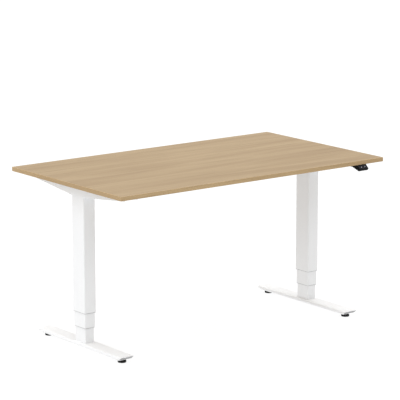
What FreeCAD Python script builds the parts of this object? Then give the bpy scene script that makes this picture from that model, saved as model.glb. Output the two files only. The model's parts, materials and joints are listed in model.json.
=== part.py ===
"""Height adjustable standing desk with two electric three-stage columns.

Frame: +Z up, origin on the floor under the middle of the tabletop.  +X runs to the
right along the long side of the top, and -Y points at the person who stands at the desk.
Every length is in millimetres.  One STEP file is written for each node.
"""
import FreeCAD
import Part
import math
import os

# ---------------------------------------------------------------- driving dimensions

# Tabletop
top_length = 1400.0
top_depth = 800.0
top_thickness = 18.0
edge_band_thickness = 2.0
top_corner_radius = 4.0
top_edge_radius = 1.2
surface_height = 725.0          # height of the work surface in the stored pose

# Columns: three nested rectangular tubes, the widest at the top
column_spacing = 1215.0         # centre to centre
outer_tube_x = 58.5
outer_tube_y = 87.5
tube_wall = 1.5
tube_corner_radius = 5.0        # outside corner of the outer tube
tube_corner_step = 1.0          # how much smaller each nested tube's corner is
glide_gap = 2.0                 # free space between two nested tubes
slide_clearance = 0.1           # between a glide and the tube that slides on it
inner_exposed = 63.8            # visible length of the inner tube in the stored pose
middle_exposed = 64.7           # visible length of the middle tube in the stored pose
stage_drop = 52.0               # how far each stage closes from the stored pose
stage_rise = 273.0              # how far each stage opens from the stored pose
tube_overlap = 120.0            # least length of tube left inside its neighbour
collar_lip = 2.0
collar_length = 30.0
slide_pad_size = (20.0, 36.0)   # width and height of a slide pad
slide_pad_drop = 8.0            # from the tube's upper end to the pad
closed_gap = 3.0                # inner tube to the bearing block, fully closed
gearbox_closed_gap = 6.0        # middle tube to the gearbox, fully closed
gearbox_top_gap = 4.0           # gearbox to the side bracket's web

# Drive train
upper_spindle_radius = 7.0
lower_spindle_radius = 11.0     # hollow: the upper spindle turns inside it
lower_spindle_bore = 8.0
running_clearance = 0.05
lower_nut_height = 30.0
upper_nut_height = 28.0
bearing_height = 17.0
spindle_head_radius = 14.0
spindle_head_height = 6.6
spindle_end_gap = 15.0          # spindle end to the part below it, fully closed
drive_gear_radius = 18.0
drive_gear_height = 12.0
gear_teeth = 24
gear_tooth_depth = 1.8
gearbox_height = 52.0
gearbox_wall = 10.0
gear_floor_gap = 4.0            # gearbox floor to the drive gear
gear_chamber_gap = (1.5, 1.0)   # round the drive gear, and above and below it
motor_radius = 24.0
motor_length = 92.0
motor_neck_radius = 9.0
motor_boss_radius = 15.0
motor_boss_length = 6.0
motor_tail_length = 5.0
worm_gap = 0.4                  # worm to the tips of the gear's teeth

# Feet
foot_length = 610.0
foot_width = 70.0
foot_height = 16.0
foot_wall = 2.5
foot_edge_radius = 7.0
foot_undercut = 16.0            # how far the underside stops short of the tip
foot_tip = 2.5                  # height of the upright face at the tip
plug_length = 10.0
plug_recess = 1.0
base_plate_thickness = 8.0
bolt_radius = 3.0
bolt_head_radius = 5.0
bolt_head_height = 4.0
bolt_hole_clearance = 0.3
bolt_access_clearance = 1.0     # round a bolt's head in the hole that it goes in by
bolt_end_wall = 1.0             # metal left over the end of a foot bolt
foot_bolt_spacing = (24.0, 50.0)

# Levelling glides
glide_inset = 37.0              # foot tip to the glide's axis
glide_pad_radius = 18.0
glide_pad_height = 9.0
glide_pad_chamfer = 1.2
glide_gap_height = 5.5          # pad to the underside of the foot
glide_stud_radius = 4.0
glide_hex_radius = 6.5
glide_nut_height = 6.0
glide_end_gap = 1.0             # stud to the foot's upper wall, and hexagon to its lower one

# Frame under the top
bracket_setback = 60.0          # end of a side bracket to the edge of the top
bracket_plate = 2.5
bracket_web = 3.0
bracket_fit = 0.6               # between the flanges and the outer tube
bracket_depth_middle = 52.0
bracket_depth_end = 18.0
bracket_flat = 38.0             # half length of the full-depth part at the column
beam_offset = 80.0              # crossbeam centre from the desk's middle plane
beam_width = 25.0
beam_height = 40.0
beam_wall = 1.5
beam_plate = 4.0
beam_plate_width = 46.0
beam_bolt_margin = 0.8          # edge of the end plate to a bolt's head
screw_radius = 2.5
screw_head_radius = 5.0
screw_head_height = 3.5
screw_hole_clearance = 0.5
screw_depth = 12.0              # length in the board
bracket_screw_near = 130.0      # from the desk's middle plane
bracket_screw_inset = 40.0      # from the bracket's end
beam_screw_place = 300.0

# Control box under the top, behind the rear crossbeam
control_size = (220.0, 90.0, 30.0)
control_centre_y = 200.0
control_wall = 2.0
control_ear = 16.0
control_corner_radius = 5.0
pillar_radius = 3.0
pillar_height = 6.0
pillar_inset = (8.0, 6.0)       # circuit board's edges to a pillar's axis
board_gap = 3.0                 # circuit board to the cover's walls
board_thickness = 1.6
socket_sizes = ((24.0, 12.0), (15.0, 12.0), (15.0, 12.0), (15.0, 12.0))
socket_wall = 2.0
socket_depth = 14.0
socket_pitch_gap = 5.0
socket_board_gap = 4.0          # sockets to the circuit board

# Handset under the front edge
handset_x = 575.7
handset_width = 52.0
handset_wall = 2.0
handset_plate = 2.0
handset_front_gap = 1.0         # front edge of the top to the handset's plate
handset_screw_inset = 8.0
handset_cavity_gap = 5.0        # front edge of the top to the cavity's upper part
handset_reach = 15.6            # how far the face stands out from the front edge
handset_face_drop = 17.0
handset_chin = (7.0, 9.0)       # back and down from the lowest edge of the face
handset_length = 56.0
handset_tail = 12.0             # thickness behind the wedge
handset_wedge_end = 34.0
faceplate_size = (45.0, 17.5)
faceplate_thickness = 1.5
faceplate_corner = 2.5
faceplate_ledge = 2.0           # how far the faceplate rests on the housing
faceplate_opening = 6.0         # depth of the opening behind the faceplate
button_size = (16.0, 11.5)
button_corner = 3.0
button_pitch = 20.0
button_clearance = 0.3
button_proud = 1.2
button_flange = (1.0, 0.8)      # rim behind the faceplate: how far it stands out, thickness
button_flange_gap = 0.1
button_travel = 1.0
button_skirt = 0.2              # length of the button behind its travel
button_board_gap = 1.6          # faceplate to the circuit board, less the travel
button_board_thickness = 1.2
button_board_clearance = 0.5

cut_overrun = 1.0               # how far a cut runs past the faces that it opens
wall_cut = 4.0                  # half length of a cut through one wall

# ---------------------------------------------------------------- derived sizes

middle_tube_x = outer_tube_x - 2 * (tube_wall + glide_gap)
middle_tube_y = outer_tube_y - 2 * (tube_wall + glide_gap)
inner_tube_x = middle_tube_x - 2 * (tube_wall + glide_gap)
inner_tube_y = middle_tube_y - 2 * (tube_wall + glide_gap)
middle_corner = tube_corner_radius - tube_corner_step
inner_corner = middle_corner - tube_corner_step
column_x = column_spacing / 2

foot_bottom = glide_pad_height + glide_gap_height
foot_top = foot_bottom + foot_height
middle_bottom = foot_top + inner_exposed
outer_bottom = middle_bottom + middle_exposed
underside = surface_height - top_thickness
web_bottom = underside - bracket_web

base_plate_top = foot_top + base_plate_thickness
gearbox_bottom = web_bottom - gearbox_top_gap - gearbox_height
middle_top = gearbox_bottom - stage_drop - gearbox_closed_gap
upper_nut_bottom = middle_top - upper_nut_height
bearing_bottom = upper_nut_bottom - bearing_height
inner_top = min(middle_bottom + stage_rise + tube_overlap, bearing_bottom - stage_drop - closed_gap)
lower_nut_bottom = inner_top - lower_nut_height
lower_spindle_bottom = base_plate_top + stage_drop + spindle_end_gap
upper_spindle_bottom = bearing_bottom - stage_rise - spindle_end_gap
gear_bottom = gearbox_bottom + gearbox_wall + gear_floor_gap
gear_top = gear_bottom + drive_gear_height
worm_y = drive_gear_radius + motor_neck_radius + worm_gap
worm_z = (gear_bottom + gear_top) / 2
glide_y = foot_length / 2 - glide_inset

bracket_length = top_depth - 2 * bracket_setback
bracket_half_gap = outer_tube_x / 2 + bracket_fit
bracket_screw_places = (bracket_screw_near, bracket_length / 2 - bracket_screw_inset)
beam_end = column_x - bracket_half_gap - bracket_plate
front_edge = -top_depth / 2

flat_tolerance = 1e-6           # an edge whose height is less lies flat
vec = FreeCAD.Vector
sides = {"left": -1, "right": 1}


# ---------------------------------------------------------------- building blocks

def box(x0, x1, y0, y1, z0, z1):
    """A block between two opposite corners, given in any order."""
    return Part.makeBox(abs(x1 - x0), abs(y1 - y0), abs(z1 - z0), vec(min(x0, x1), min(y0, y1), min(z0, z1)))


def cylinder(radius, x, y, z0, z1):
    """An upright round bar."""
    return Part.makeCylinder(radius, z1 - z0, vec(x, y, z0))


def cylinder_x(radius, x0, x1, y, z):
    """A round bar along X between two places given in either order."""
    return Part.makeCylinder(radius, abs(x1 - x0), vec(min(x0, x1), y, z), vec(1, 0, 0))


def hexagon(radius, x, y, z0, z1):
    """An upright six-sided bar, radius to its corners."""
    corners = [vec(x + radius * math.cos(math.radians(a)), y + radius * math.sin(math.radians(a)), z0)
               for a in range(0, 361, 60)]
    return Part.Face(Part.makePolygon(corners)).extrude(vec(0, 0, z1 - z0))


def rounded_face(size_x, size_y, radius):
    """A rectangle with round corners in the XY plane, centred on the origin."""
    hx = size_x / 2
    hy = size_y / 2
    edges = []
    centres = ((hx - radius, hy - radius, 0), (-hx + radius, hy - radius, 90),
               (-hx + radius, -hy + radius, 180), (hx - radius, -hy + radius, 270))
    for cx, cy, start in centres:
        edges.append(Part.makeCircle(radius, vec(cx, cy, 0), vec(0, 0, 1), start, start + 90))
    edges.append(Part.makeLine(vec(hx - radius, hy, 0), vec(-hx + radius, hy, 0)))
    edges.append(Part.makeLine(vec(-hx, hy - radius, 0), vec(-hx, -hy + radius, 0)))
    edges.append(Part.makeLine(vec(-hx + radius, -hy, 0), vec(hx - radius, -hy, 0)))
    edges.append(Part.makeLine(vec(hx, -hy + radius, 0), vec(hx, hy - radius, 0)))
    return Part.Face(Part.Wire(Part.__sortEdges__(edges)))


def rounded_block(size_x, size_y, radius, z0, z1, x=0.0, y=0.0):
    """An upright block with round upright edges."""
    block = rounded_face(size_x, size_y, radius).extrude(vec(0, 0, z1 - z0))
    block.translate(vec(x, y, z0))
    return block


def rectangular_tube(size_x, size_y, radius, wall, z0, z1, x=0.0, y=0.0):
    """An upright rectangular tube with an even wall."""
    outside = rounded_block(size_x, size_y, radius, z0, z1, x, y)
    bore = rounded_block(size_x - 2 * wall, size_y - 2 * wall, radius - wall, z0, z1, x, y)
    return outside.cut(bore)


def profile_prism(points_yz, x0, x1):
    """A prism along X from an outline given as (y, z) points."""
    corners = [vec(x0, y, z) for y, z in points_yz]
    corners.append(corners[0])
    return Part.Face(Part.makePolygon(corners)).extrude(vec(x1 - x0, 0, 0))


def save(name, *shapes):
    """Write one node, a single solid or a group of separate ones."""
    solids = [solid for shape in shapes for solid in shape.Solids]
    node = solids[0] if len(solids) == 1 else Part.makeCompound(solids)
    node.exportStep("parts/" + name + ".step")


# ---------------------------------------------------------------- feet

def foot_envelope(x):
    """Prism with the side view of a foot: long on top, with both ends cut back underneath."""
    tip = foot_length / 2
    knee = tip - foot_undercut
    above = foot_top + cut_overrun
    below = foot_bottom - cut_overrun
    outline = [(-tip, above), (tip, above), (tip, foot_top - foot_tip), (knee, foot_bottom),
               (knee, below), (-knee, below), (-knee, foot_bottom), (-tip, foot_top - foot_tip)]
    return profile_prism(outline, x - foot_width, x + foot_width)


def flat_tube(width, height, radius, length, x, z_middle):
    """A lying bar of flattened round section along Y."""
    bar = rounded_face(width, height, radius).extrude(vec(0, 0, length))
    bar.rotate(vec(0, 0, 0), vec(1, 0, 0), 90)
    bar.translate(vec(x, length / 2, z_middle))
    return bar


def foot_bolt_places(x):
    """Axes of the four bolts that hold a column on its foot."""
    return [(x + i * foot_bolt_spacing[0] / 2, j * foot_bolt_spacing[1] / 2)
            for i in (-1, 1) for j in (-1, 1)]


def make_foot_bar(x):
    """Flattened steel tube with slanted ends, drilled for the bolts and the glides."""
    middle = foot_bottom + foot_height / 2
    bar = flat_tube(foot_width, foot_height, foot_edge_radius, foot_length, x, middle)
    cavity = flat_tube(foot_width - 2 * foot_wall, foot_height - 2 * foot_wall,
                       foot_edge_radius - foot_wall, foot_length + 2 * cut_overrun, x, middle)
    bar = bar.cut(cavity).common(foot_envelope(x))
    low = foot_bottom - cut_overrun
    high = foot_bottom + foot_wall + cut_overrun
    for bx, by in foot_bolt_places(x):
        bar = bar.cut(cylinder(bolt_radius + bolt_hole_clearance, bx, by, foot_top - 2 * foot_wall,
                               foot_top + cut_overrun))
        bar = bar.cut(cylinder(bolt_head_radius + bolt_access_clearance, bx, by, low, high))
    for y in (-glide_y, glide_y):
        bar = bar.cut(cylinder(glide_stud_radius + running_clearance, x, y, low, high))
    return bar


def make_end_plug(x, end):
    """Plastic plug that closes one slanted end of a foot."""
    middle = foot_bottom + foot_height / 2
    inside_bottom = foot_bottom + foot_wall
    inside_top = foot_top - foot_wall
    body = flat_tube(foot_width - 2 * foot_wall, foot_height - 2 * foot_wall,
                     foot_edge_radius - foot_wall, foot_length, x, middle)
    slope = foot_undercut / (foot_height - foot_tip)
    tip = foot_length / 2 - plug_recess
    low = tip - slope * (foot_top - foot_tip - inside_bottom)
    outline = [(end * tip, inside_top), (end * low, inside_bottom),
               (end * (low - plug_length), inside_bottom), (end * (tip - plug_length), inside_top)]
    return body.common(profile_prism(outline, x - foot_width / 2, x + foot_width / 2))


def make_foot_bolt(x, y):
    """Bolt from inside the foot up into the column's base plate."""
    head_top = foot_top - foot_wall
    shank = cylinder(bolt_radius, x, y, head_top, base_plate_top - bolt_end_wall)
    head = cylinder(bolt_head_radius, x, y, head_top - bolt_head_height, head_top)
    return shank.fuse(head)


def make_glide_nut(x, y):
    """Threaded insert inside the foot for a glide's stud."""
    z0 = foot_bottom + foot_wall
    nut = hexagon(glide_hex_radius, x, y, z0, z0 + glide_nut_height)
    return nut.cut(cylinder(glide_stud_radius + running_clearance, x, y, z0, z0 + glide_nut_height))


def make_glide_pad(x, y):
    """Round floor pad with a chamfered rim and a socket for its stud."""
    chamfer = glide_pad_chamfer
    pad = Part.makeCone(glide_pad_radius - chamfer, glide_pad_radius, chamfer, vec(x, y, 0))
    pad = pad.fuse(cylinder(glide_pad_radius, x, y, chamfer, glide_pad_height - 2 * chamfer))
    pad = pad.fuse(Part.makeCone(glide_pad_radius, glide_pad_radius - 2 * chamfer, 2 * chamfer,
                                 vec(x, y, glide_pad_height - 2 * chamfer)))
    return pad.removeSplitter().cut(cylinder(glide_stud_radius, x, y, glide_pad_height / 2, glide_pad_height))


def make_glide_stud(x, y):
    """Threaded stud, shown smooth, with a hexagon to turn it by."""
    top = foot_top - foot_wall - glide_end_gap
    stud = cylinder(glide_stud_radius, x, y, glide_pad_height / 2, top)
    collar = hexagon(glide_hex_radius, x, y, glide_pad_height, foot_bottom - glide_end_gap)
    return stud.fuse(collar)


def build_feet():
    """Feet, plugs, bolts and levelling glides."""
    plugs = []
    nuts = []
    bolts = []
    for name, side in sides.items():
        x = side * column_x
        save(name + "_foot_bar", make_foot_bar(x))
        plugs += [make_end_plug(x, end) for end in (-1, 1)]
        nuts += [make_glide_nut(x, y) for y in (-glide_y, glide_y)]
        bolts += [make_foot_bolt(bx, by) for bx, by in foot_bolt_places(x)]
        for place, y in (("front", -glide_y), ("rear", glide_y)):
            save(place + "_" + name + "_glide_pad", make_glide_pad(x, y))
            save(place + "_" + name + "_glide_stud", make_glide_stud(x, y))
    save("foot_end_plugs", *plugs)
    save("glide_nuts", *nuts)
    save("foot_bolts", *bolts)


# ---------------------------------------------------------------- columns

def slide_pads(tube_x, tube_y, top, x):
    """Four flat pads on the outside of a tube, one on each wall."""
    width, height = slide_pad_size
    z1 = top - slide_pad_drop
    z0 = z1 - height
    thickness = glide_gap - slide_clearance
    pads = []
    for end in (-1, 1):
        wall_x = end * tube_x / 2
        wall_y = end * tube_y / 2
        pads.append(box(x + wall_x, x + wall_x + end * thickness, -width / 2, width / 2, z0, z1))
        pads.append(box(x - width / 2, x + width / 2, wall_y, wall_y + end * thickness, z0, z1))
    return pads


def make_collar(tube_x, tube_y, corner, lip_bottom, x):
    """Plastic collar in the lower end of a tube, with a lip under the tube's wall."""
    top = lip_bottom + collar_length
    thickness = tube_wall + glide_gap - slide_clearance
    hole_corner = corner - tube_corner_step + slide_clearance
    body = rounded_block(tube_x - 2 * tube_wall, tube_y - 2 * tube_wall, corner - tube_wall,
                         lip_bottom, top, x)
    lip = rounded_block(tube_x, tube_y, corner, lip_bottom, lip_bottom + collar_lip, x)
    hole = rounded_block(tube_x - 2 * thickness, tube_y - 2 * thickness, hole_corner, lip_bottom, top, x)
    return body.fuse(lip).cut(hole)


def make_inner_tube(x):
    """Lowest stage: a tube closed by the base plate that the foot bolts pull down."""
    tube = rectangular_tube(inner_tube_x, inner_tube_y, inner_corner, tube_wall, foot_top, inner_top, x)
    plate = rounded_block(inner_tube_x, inner_tube_y, inner_corner, foot_top, base_plate_top, x)
    tube = tube.fuse(plate)
    for bx, by in foot_bolt_places(x):
        tube = tube.cut(cylinder(bolt_radius, bx, by, foot_top, base_plate_top - bolt_end_wall))
    return tube


def make_nut_block(tube_x, tube_y, corner, z0, z1, bore, x):
    """Block that fills a tube's end and carries a spindle in its bore."""
    block = rounded_block(tube_x - 2 * tube_wall, tube_y - 2 * tube_wall, corner - tube_wall, z0, z1, x)
    return block.cut(cylinder(bore, x, 0.0, z0, z1))


def make_spindle_bearing(x):
    """Bearing block: the lower spindle's head turns in its upper recess."""
    block = make_nut_block(middle_tube_x, middle_tube_y, middle_corner, bearing_bottom, upper_nut_bottom,
                           lower_spindle_radius + running_clearance, x)
    recess = cylinder(spindle_head_radius + running_clearance, x, 0.0,
                      upper_nut_bottom - spindle_head_height - 2 * running_clearance, upper_nut_bottom)
    return block.cut(recess)


def make_lower_spindle(x):
    """Hollow spindle that hangs in the bearing block and runs in the lower nut."""
    head_top = upper_nut_bottom - running_clearance
    spindle = cylinder(lower_spindle_radius, x, 0.0, lower_spindle_bottom, head_top)
    head = cylinder(spindle_head_radius, x, 0.0, head_top - spindle_head_height, head_top)
    return spindle.fuse(head).cut(cylinder(lower_spindle_bore, x, 0.0, lower_spindle_bottom, head_top))


def make_upper_spindle(x):
    """Solid spindle that hangs from the gearbox and ends inside the hollow one."""
    return cylinder(upper_spindle_radius, x, 0.0, upper_spindle_bottom,
                    gearbox_bottom + gearbox_height - gearbox_wall / 2)


def make_drive_gear(x):
    """Worm wheel pressed on the upper spindle inside the gearbox."""
    root = drive_gear_radius - gear_tooth_depth
    wheel = cylinder(root, x, 0.0, gear_bottom, gear_top)
    tooth_width = math.pi * root / gear_teeth
    for i in range(gear_teeth):
        tooth = box(x + root - cut_overrun, x + drive_gear_radius, -tooth_width / 2, tooth_width / 2,
                    gear_bottom, gear_top)
        tooth.rotate(vec(x, 0, 0), vec(0, 0, 1), i * 360.0 / gear_teeth)
        wheel = wheel.fuse(tooth)
    return wheel.cut(cylinder(upper_spindle_radius, x, 0.0, gear_bottom, gear_top))


def make_gearbox(x, side):
    """Gear housing that fills the top of the outer tube, with a round chamber and a worm's bore."""
    top = gearbox_bottom + gearbox_height
    around, beyond = gear_chamber_gap
    block = rounded_block(outer_tube_x - 2 * tube_wall, outer_tube_y - 2 * tube_wall,
                          tube_corner_radius - tube_wall, gearbox_bottom, top, x)
    chamber = cylinder(drive_gear_radius + around, x, 0.0, gear_bottom - beyond, gear_top + beyond)
    shaft = cylinder(upper_spindle_radius + running_clearance, x, 0.0, gearbox_bottom,
                     top - gearbox_wall / 2 + beyond)
    inner_face = x - side * outer_tube_x / 2
    far_end = x + side * (outer_tube_x / 2 - tube_wall - gearbox_wall / 2)
    worm_bore = cylinder_x(motor_neck_radius, inner_face, far_end, worm_y, worm_z)
    return block.cut(chamber).cut(shaft).cut(worm_bore)


def make_motor(x, side):
    """Geared motor: a round can under the top whose neck reaches into the gearbox."""
    face = side * beam_end
    boss = face - side * motor_boss_length
    end = face - side * motor_length
    neck_end = x + side * (outer_tube_x / 2 - tube_wall - gearbox_wall)
    can = cylinder_x(motor_radius, boss, end, worm_y, worm_z)
    flange = cylinder_x(motor_boss_radius, face, boss, worm_y, worm_z)
    neck = cylinder_x(motor_neck_radius, face, neck_end, worm_y, worm_z)
    tail = cylinder_x(motor_boss_radius, end, end - side * motor_tail_length, worm_y, worm_z)
    return can.fuse(flange).fuse(neck).fuse(tail).removeSplitter()


def make_outer_tube(x, side):
    """Widest stage, up to the side bracket's web, with a window for the motor's neck."""
    tube = rectangular_tube(outer_tube_x, outer_tube_y, tube_corner_radius, tube_wall,
                            outer_bottom + collar_lip, web_bottom, x)
    wall = x - side * outer_tube_x / 2
    return tube.cut(cylinder_x(motor_neck_radius, wall - wall_cut, wall + wall_cut, worm_y, worm_z))


def build_columns():
    """Tubes, collars, pads and the drive train of both columns."""
    inner_pads = []
    middle_pads = []
    lower_nuts = []
    upper_nuts = []
    bearings = []
    for name, side in sides.items():
        x = side * column_x
        save(name + "_inner_tube", make_inner_tube(x))
        save(name + "_middle_tube", rectangular_tube(middle_tube_x, middle_tube_y, middle_corner,
                                                     tube_wall, middle_bottom + collar_lip, middle_top, x))
        save(name + "_outer_tube", make_outer_tube(x, side))
        save(name + "_middle_collar", make_collar(middle_tube_x, middle_tube_y, middle_corner,
                                                  middle_bottom, x))
        save(name + "_outer_collar", make_collar(outer_tube_x, outer_tube_y, tube_corner_radius,
                                                 outer_bottom, x))
        save(name + "_lower_spindle", make_lower_spindle(x))
        save(name + "_upper_spindle", make_upper_spindle(x))
        save(name + "_drive_gear", make_drive_gear(x))
        save(name + "_gearbox", make_gearbox(x, side))
        save(name + "_motor", make_motor(x, side))
        inner_pads += slide_pads(inner_tube_x, inner_tube_y, inner_top, x)
        middle_pads += slide_pads(middle_tube_x, middle_tube_y, middle_top, x)
        lower_nuts.append(make_nut_block(inner_tube_x, inner_tube_y, inner_corner, lower_nut_bottom,
                                         inner_top, lower_spindle_radius + running_clearance, x))
        upper_nuts.append(make_nut_block(middle_tube_x, middle_tube_y, middle_corner, upper_nut_bottom,
                                         middle_top, upper_spindle_radius + running_clearance, x))
        bearings.append(make_spindle_bearing(x))
    save("inner_slide_pads", *inner_pads)
    save("middle_slide_pads", *middle_pads)
    save("lower_drive_nuts", *lower_nuts)
    save("upper_drive_nuts", *upper_nuts)
    save("spindle_bearings", *bearings)


# ---------------------------------------------------------------- frame under the top

def bracket_screw_axes(x):
    """Axes of the wood screws through one side bracket."""
    return [(x, sign * y) for sign in (-1, 1) for y in bracket_screw_places]


def beam_screw_axes():
    """Axes of the wood screws through the crossbeams."""
    return [(i * beam_screw_place, j * beam_offset) for i in (-1, 1) for j in (-1, 1)]


def beam_bolt_axes():
    """Y and Z of the bolts in one end plate of each crossbeam."""
    z = underside - beam_height / 2
    spread = beam_plate_width / 2 - bolt_head_radius - beam_bolt_margin
    return [(j * beam_offset + i * spread, z) for j in (-1, 1) for i in (-1, 1)]


def make_side_bracket(x, side):
    """Channel under one end of the top: a web and two flanges that taper to the ends."""
    half = bracket_length / 2
    full = bracket_flat
    low = underside - bracket_depth_middle
    tip = underside - bracket_depth_end
    outline = [(-half, underside), (half, underside), (half, tip), (full, low), (-full, low), (-half, tip)]
    gap = bracket_half_gap
    bracket = profile_prism(outline, x - gap - bracket_plate, x + gap + bracket_plate)
    bracket = bracket.cut(box(x - gap, x + gap, -half - cut_overrun, half + cut_overrun, low - cut_overrun,
                              web_bottom))
    for sx, sy in bracket_screw_axes(x):
        bracket = bracket.cut(cylinder(screw_radius + screw_hole_clearance, sx, sy, web_bottom - cut_overrun,
                                       underside + cut_overrun))
    inner = x - side * (gap + bracket_plate / 2)
    bracket = bracket.cut(cylinder_x(motor_neck_radius, inner - wall_cut, inner + wall_cut, worm_y, worm_z))
    for y, z in beam_bolt_axes():
        bracket = bracket.cut(cylinder_x(bolt_radius + bolt_hole_clearance, inner - wall_cut,
                                         inner + wall_cut, y, z))
    return bracket


def make_crossbeam(y):
    """Rectangular tube with a plate welded on each end."""
    z0 = underside - beam_height
    plate_inside = beam_end - beam_plate
    half_plate = beam_plate_width / 2
    half_width = beam_width / 2
    half_bore = half_width - beam_wall
    beam = box(-beam_end, beam_end, y - half_width, y + half_width, z0, underside)
    beam = beam.cut(box(-plate_inside, plate_inside, y - half_bore, y + half_bore, z0 + beam_wall,
                        underside - beam_wall))
    for sign in (-1, 1):
        near = sign * beam_end
        far = sign * plate_inside
        beam = beam.fuse(box(near, far, y - half_plate, y + half_plate, z0, underside))
        for by, bz in beam_bolt_axes():
            if abs(by - y) < half_plate:
                beam = beam.cut(cylinder_x(bolt_radius, near, far, by, bz))
    for sx, sy in beam_screw_axes():
        if sy == y:
            beam = beam.cut(cylinder(screw_radius + screw_hole_clearance, sx, sy, z0 - cut_overrun,
                                     underside + cut_overrun))
    return beam


def make_beam_bolt(side, y, z):
    """Bolt from inside the side bracket into a crossbeam's end plate."""
    seat = side * (beam_end + bracket_plate)
    tip = side * (beam_end - beam_plate)
    crown = seat + side * bolt_head_height
    return cylinder_x(bolt_radius, seat, tip, y, z).fuse(cylinder_x(bolt_head_radius, seat, crown, y, z))


def make_wood_screw(x, y, head_top):
    """Screw up into the board, its head under the metal at head_top."""
    shank = cylinder(screw_radius, x, y, head_top, underside + screw_depth)
    return shank.fuse(cylinder(screw_head_radius, x, y, head_top - screw_head_height, head_top))


def control_screw_axes():
    """Axes of the two screws in the control box's ears."""
    reach = control_size[0] / 2 + control_ear / 2
    return [(sign * reach, control_centre_y) for sign in (-1, 1)]


def handset_screw_axes():
    """Axes of the two screws through the handset's mounting plate."""
    y = front_edge + handset_length - handset_screw_inset
    return [(handset_x + sign * handset_width / 4, y) for sign in (-1, 1)]


def all_board_screws():
    """Every screw axis in the board."""
    axes = bracket_screw_axes(-column_x) + bracket_screw_axes(column_x) + beam_screw_axes()
    return axes + control_screw_axes() + handset_screw_axes()


def build_top():
    """Board, edge band, brackets, crossbeams and their fasteners."""
    board_x = top_length - 2 * edge_band_thickness
    board_y = top_depth - 2 * edge_band_thickness
    board_corner = top_corner_radius - edge_band_thickness
    board = rounded_block(board_x, board_y, board_corner, underside, surface_height)
    band = rounded_block(top_length, top_depth, top_corner_radius, underside, surface_height)
    rims = [edge for edge in band.Edges if abs(edge.BoundBox.ZLength) < flat_tolerance]
    band = band.makeFillet(top_edge_radius, rims)
    band = band.cut(rounded_block(board_x, board_y, board_corner, underside, surface_height))
    for x, y in all_board_screws():
        board = board.cut(cylinder(screw_radius, x, y, underside, underside + screw_depth))
    save("tabletop_board", board)
    save("edge_band", band)
    for name, side in sides.items():
        save(name + "_side_bracket", make_side_bracket(side * column_x, side))
    for name, y in (("front", -beam_offset), ("rear", beam_offset)):
        save(name + "_crossbeam", make_crossbeam(y))
    save("beam_bolts", *[make_beam_bolt(side, y, z) for side in (-1, 1) for y, z in beam_bolt_axes()])
    screws = [make_wood_screw(x, y, web_bottom)
              for x, y in bracket_screw_axes(-column_x) + bracket_screw_axes(column_x)]
    screws += [make_wood_screw(x, y, underside - beam_height) for x, y in beam_screw_axes()]
    save("tabletop_screws", *screws)


# ---------------------------------------------------------------- control box

def socket_places():
    """Y centres of the sockets, side by side in the box's left end."""
    total = sum(size[0] for size in socket_sizes) + socket_pitch_gap * (len(socket_sizes) - 1)
    y = control_centre_y - total / 2
    places = []
    for width, _ in socket_sizes:
        places.append(y + width / 2)
        y += width + socket_pitch_gap
    return places


def make_control_base(base_bottom, board_top):
    """Mounting plate with two screw ears and four pillars for the circuit board."""
    length, width, _ = control_size
    base = rounded_block(length + 2 * control_ear, width, control_corner_radius, base_bottom, underside,
                         0.0, control_centre_y)
    for x, y in control_screw_axes():
        base = base.cut(cylinder(screw_radius + screw_hole_clearance, x, y, base_bottom, underside))
    edge = control_wall + board_gap
    px = length / 2 - edge - pillar_inset[0] - socket_depth
    py = width / 2 - edge - pillar_inset[1]
    for i in (-1, 1):
        for j in (-1, 1):
            base = base.fuse(cylinder(pillar_radius, i * px, control_centre_y + j * py, board_top,
                                      base_bottom))
    return base.removeSplitter()


def make_control_cover(cover_bottom, base_bottom):
    """Box that is open towards its base, with a rounded rim underneath."""
    length, width, _ = control_size
    cover = rounded_block(length, width, control_corner_radius, cover_bottom, base_bottom,
                          0.0, control_centre_y)
    rim = [edge for edge in cover.Edges if edge.BoundBox.ZMax < cover_bottom + flat_tolerance]
    cover = cover.makeFillet(control_corner_radius / 2, rim)
    return cover.cut(rounded_block(length - 2 * control_wall, width - 2 * control_wall,
                                   control_corner_radius - control_wall, cover_bottom + control_wall,
                                   base_bottom, 0.0, control_centre_y))


def build_control_box():
    """Cover, mounting base, circuit board, sockets and screws."""
    length, width, height = control_size
    base_bottom = underside - control_wall
    board_top = base_bottom - pillar_height
    cover_bottom = base_bottom - height
    cover = make_control_cover(cover_bottom, base_bottom)
    sockets = []
    z = cover_bottom + height / 2
    front = -length / 2
    for (socket_y, socket_z), y in zip(socket_sizes, socket_places()):
        y0 = y - socket_y / 2
        y1 = y + socket_y / 2
        z0 = z - socket_z / 2
        z1 = z + socket_z / 2
        cover = cover.cut(box(front - cut_overrun, front + control_wall + cut_overrun, y0, y1, z0, z1))
        hollow = box(front, front + socket_depth - socket_wall, y0 + socket_wall, y1 - socket_wall,
                     z0 + socket_wall, z1 - socket_wall)
        sockets.append(box(front, front + socket_depth, y0, y1, z0, z1).cut(hollow))
    edge = control_wall + board_gap
    half = width / 2 - edge
    board = box(front + socket_depth + socket_board_gap, length / 2 - edge, control_centre_y - half,
                control_centre_y + half, board_top - board_thickness, board_top)
    save("control_box_base", make_control_base(base_bottom, board_top))
    save("control_box_cover", cover)
    save("control_sockets", *sockets)
    save("control_circuit_board", board)
    save("control_box_screws", *[make_wood_screw(x, y, base_bottom) for x, y in control_screw_axes()])


# ---------------------------------------------------------------- handset

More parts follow.
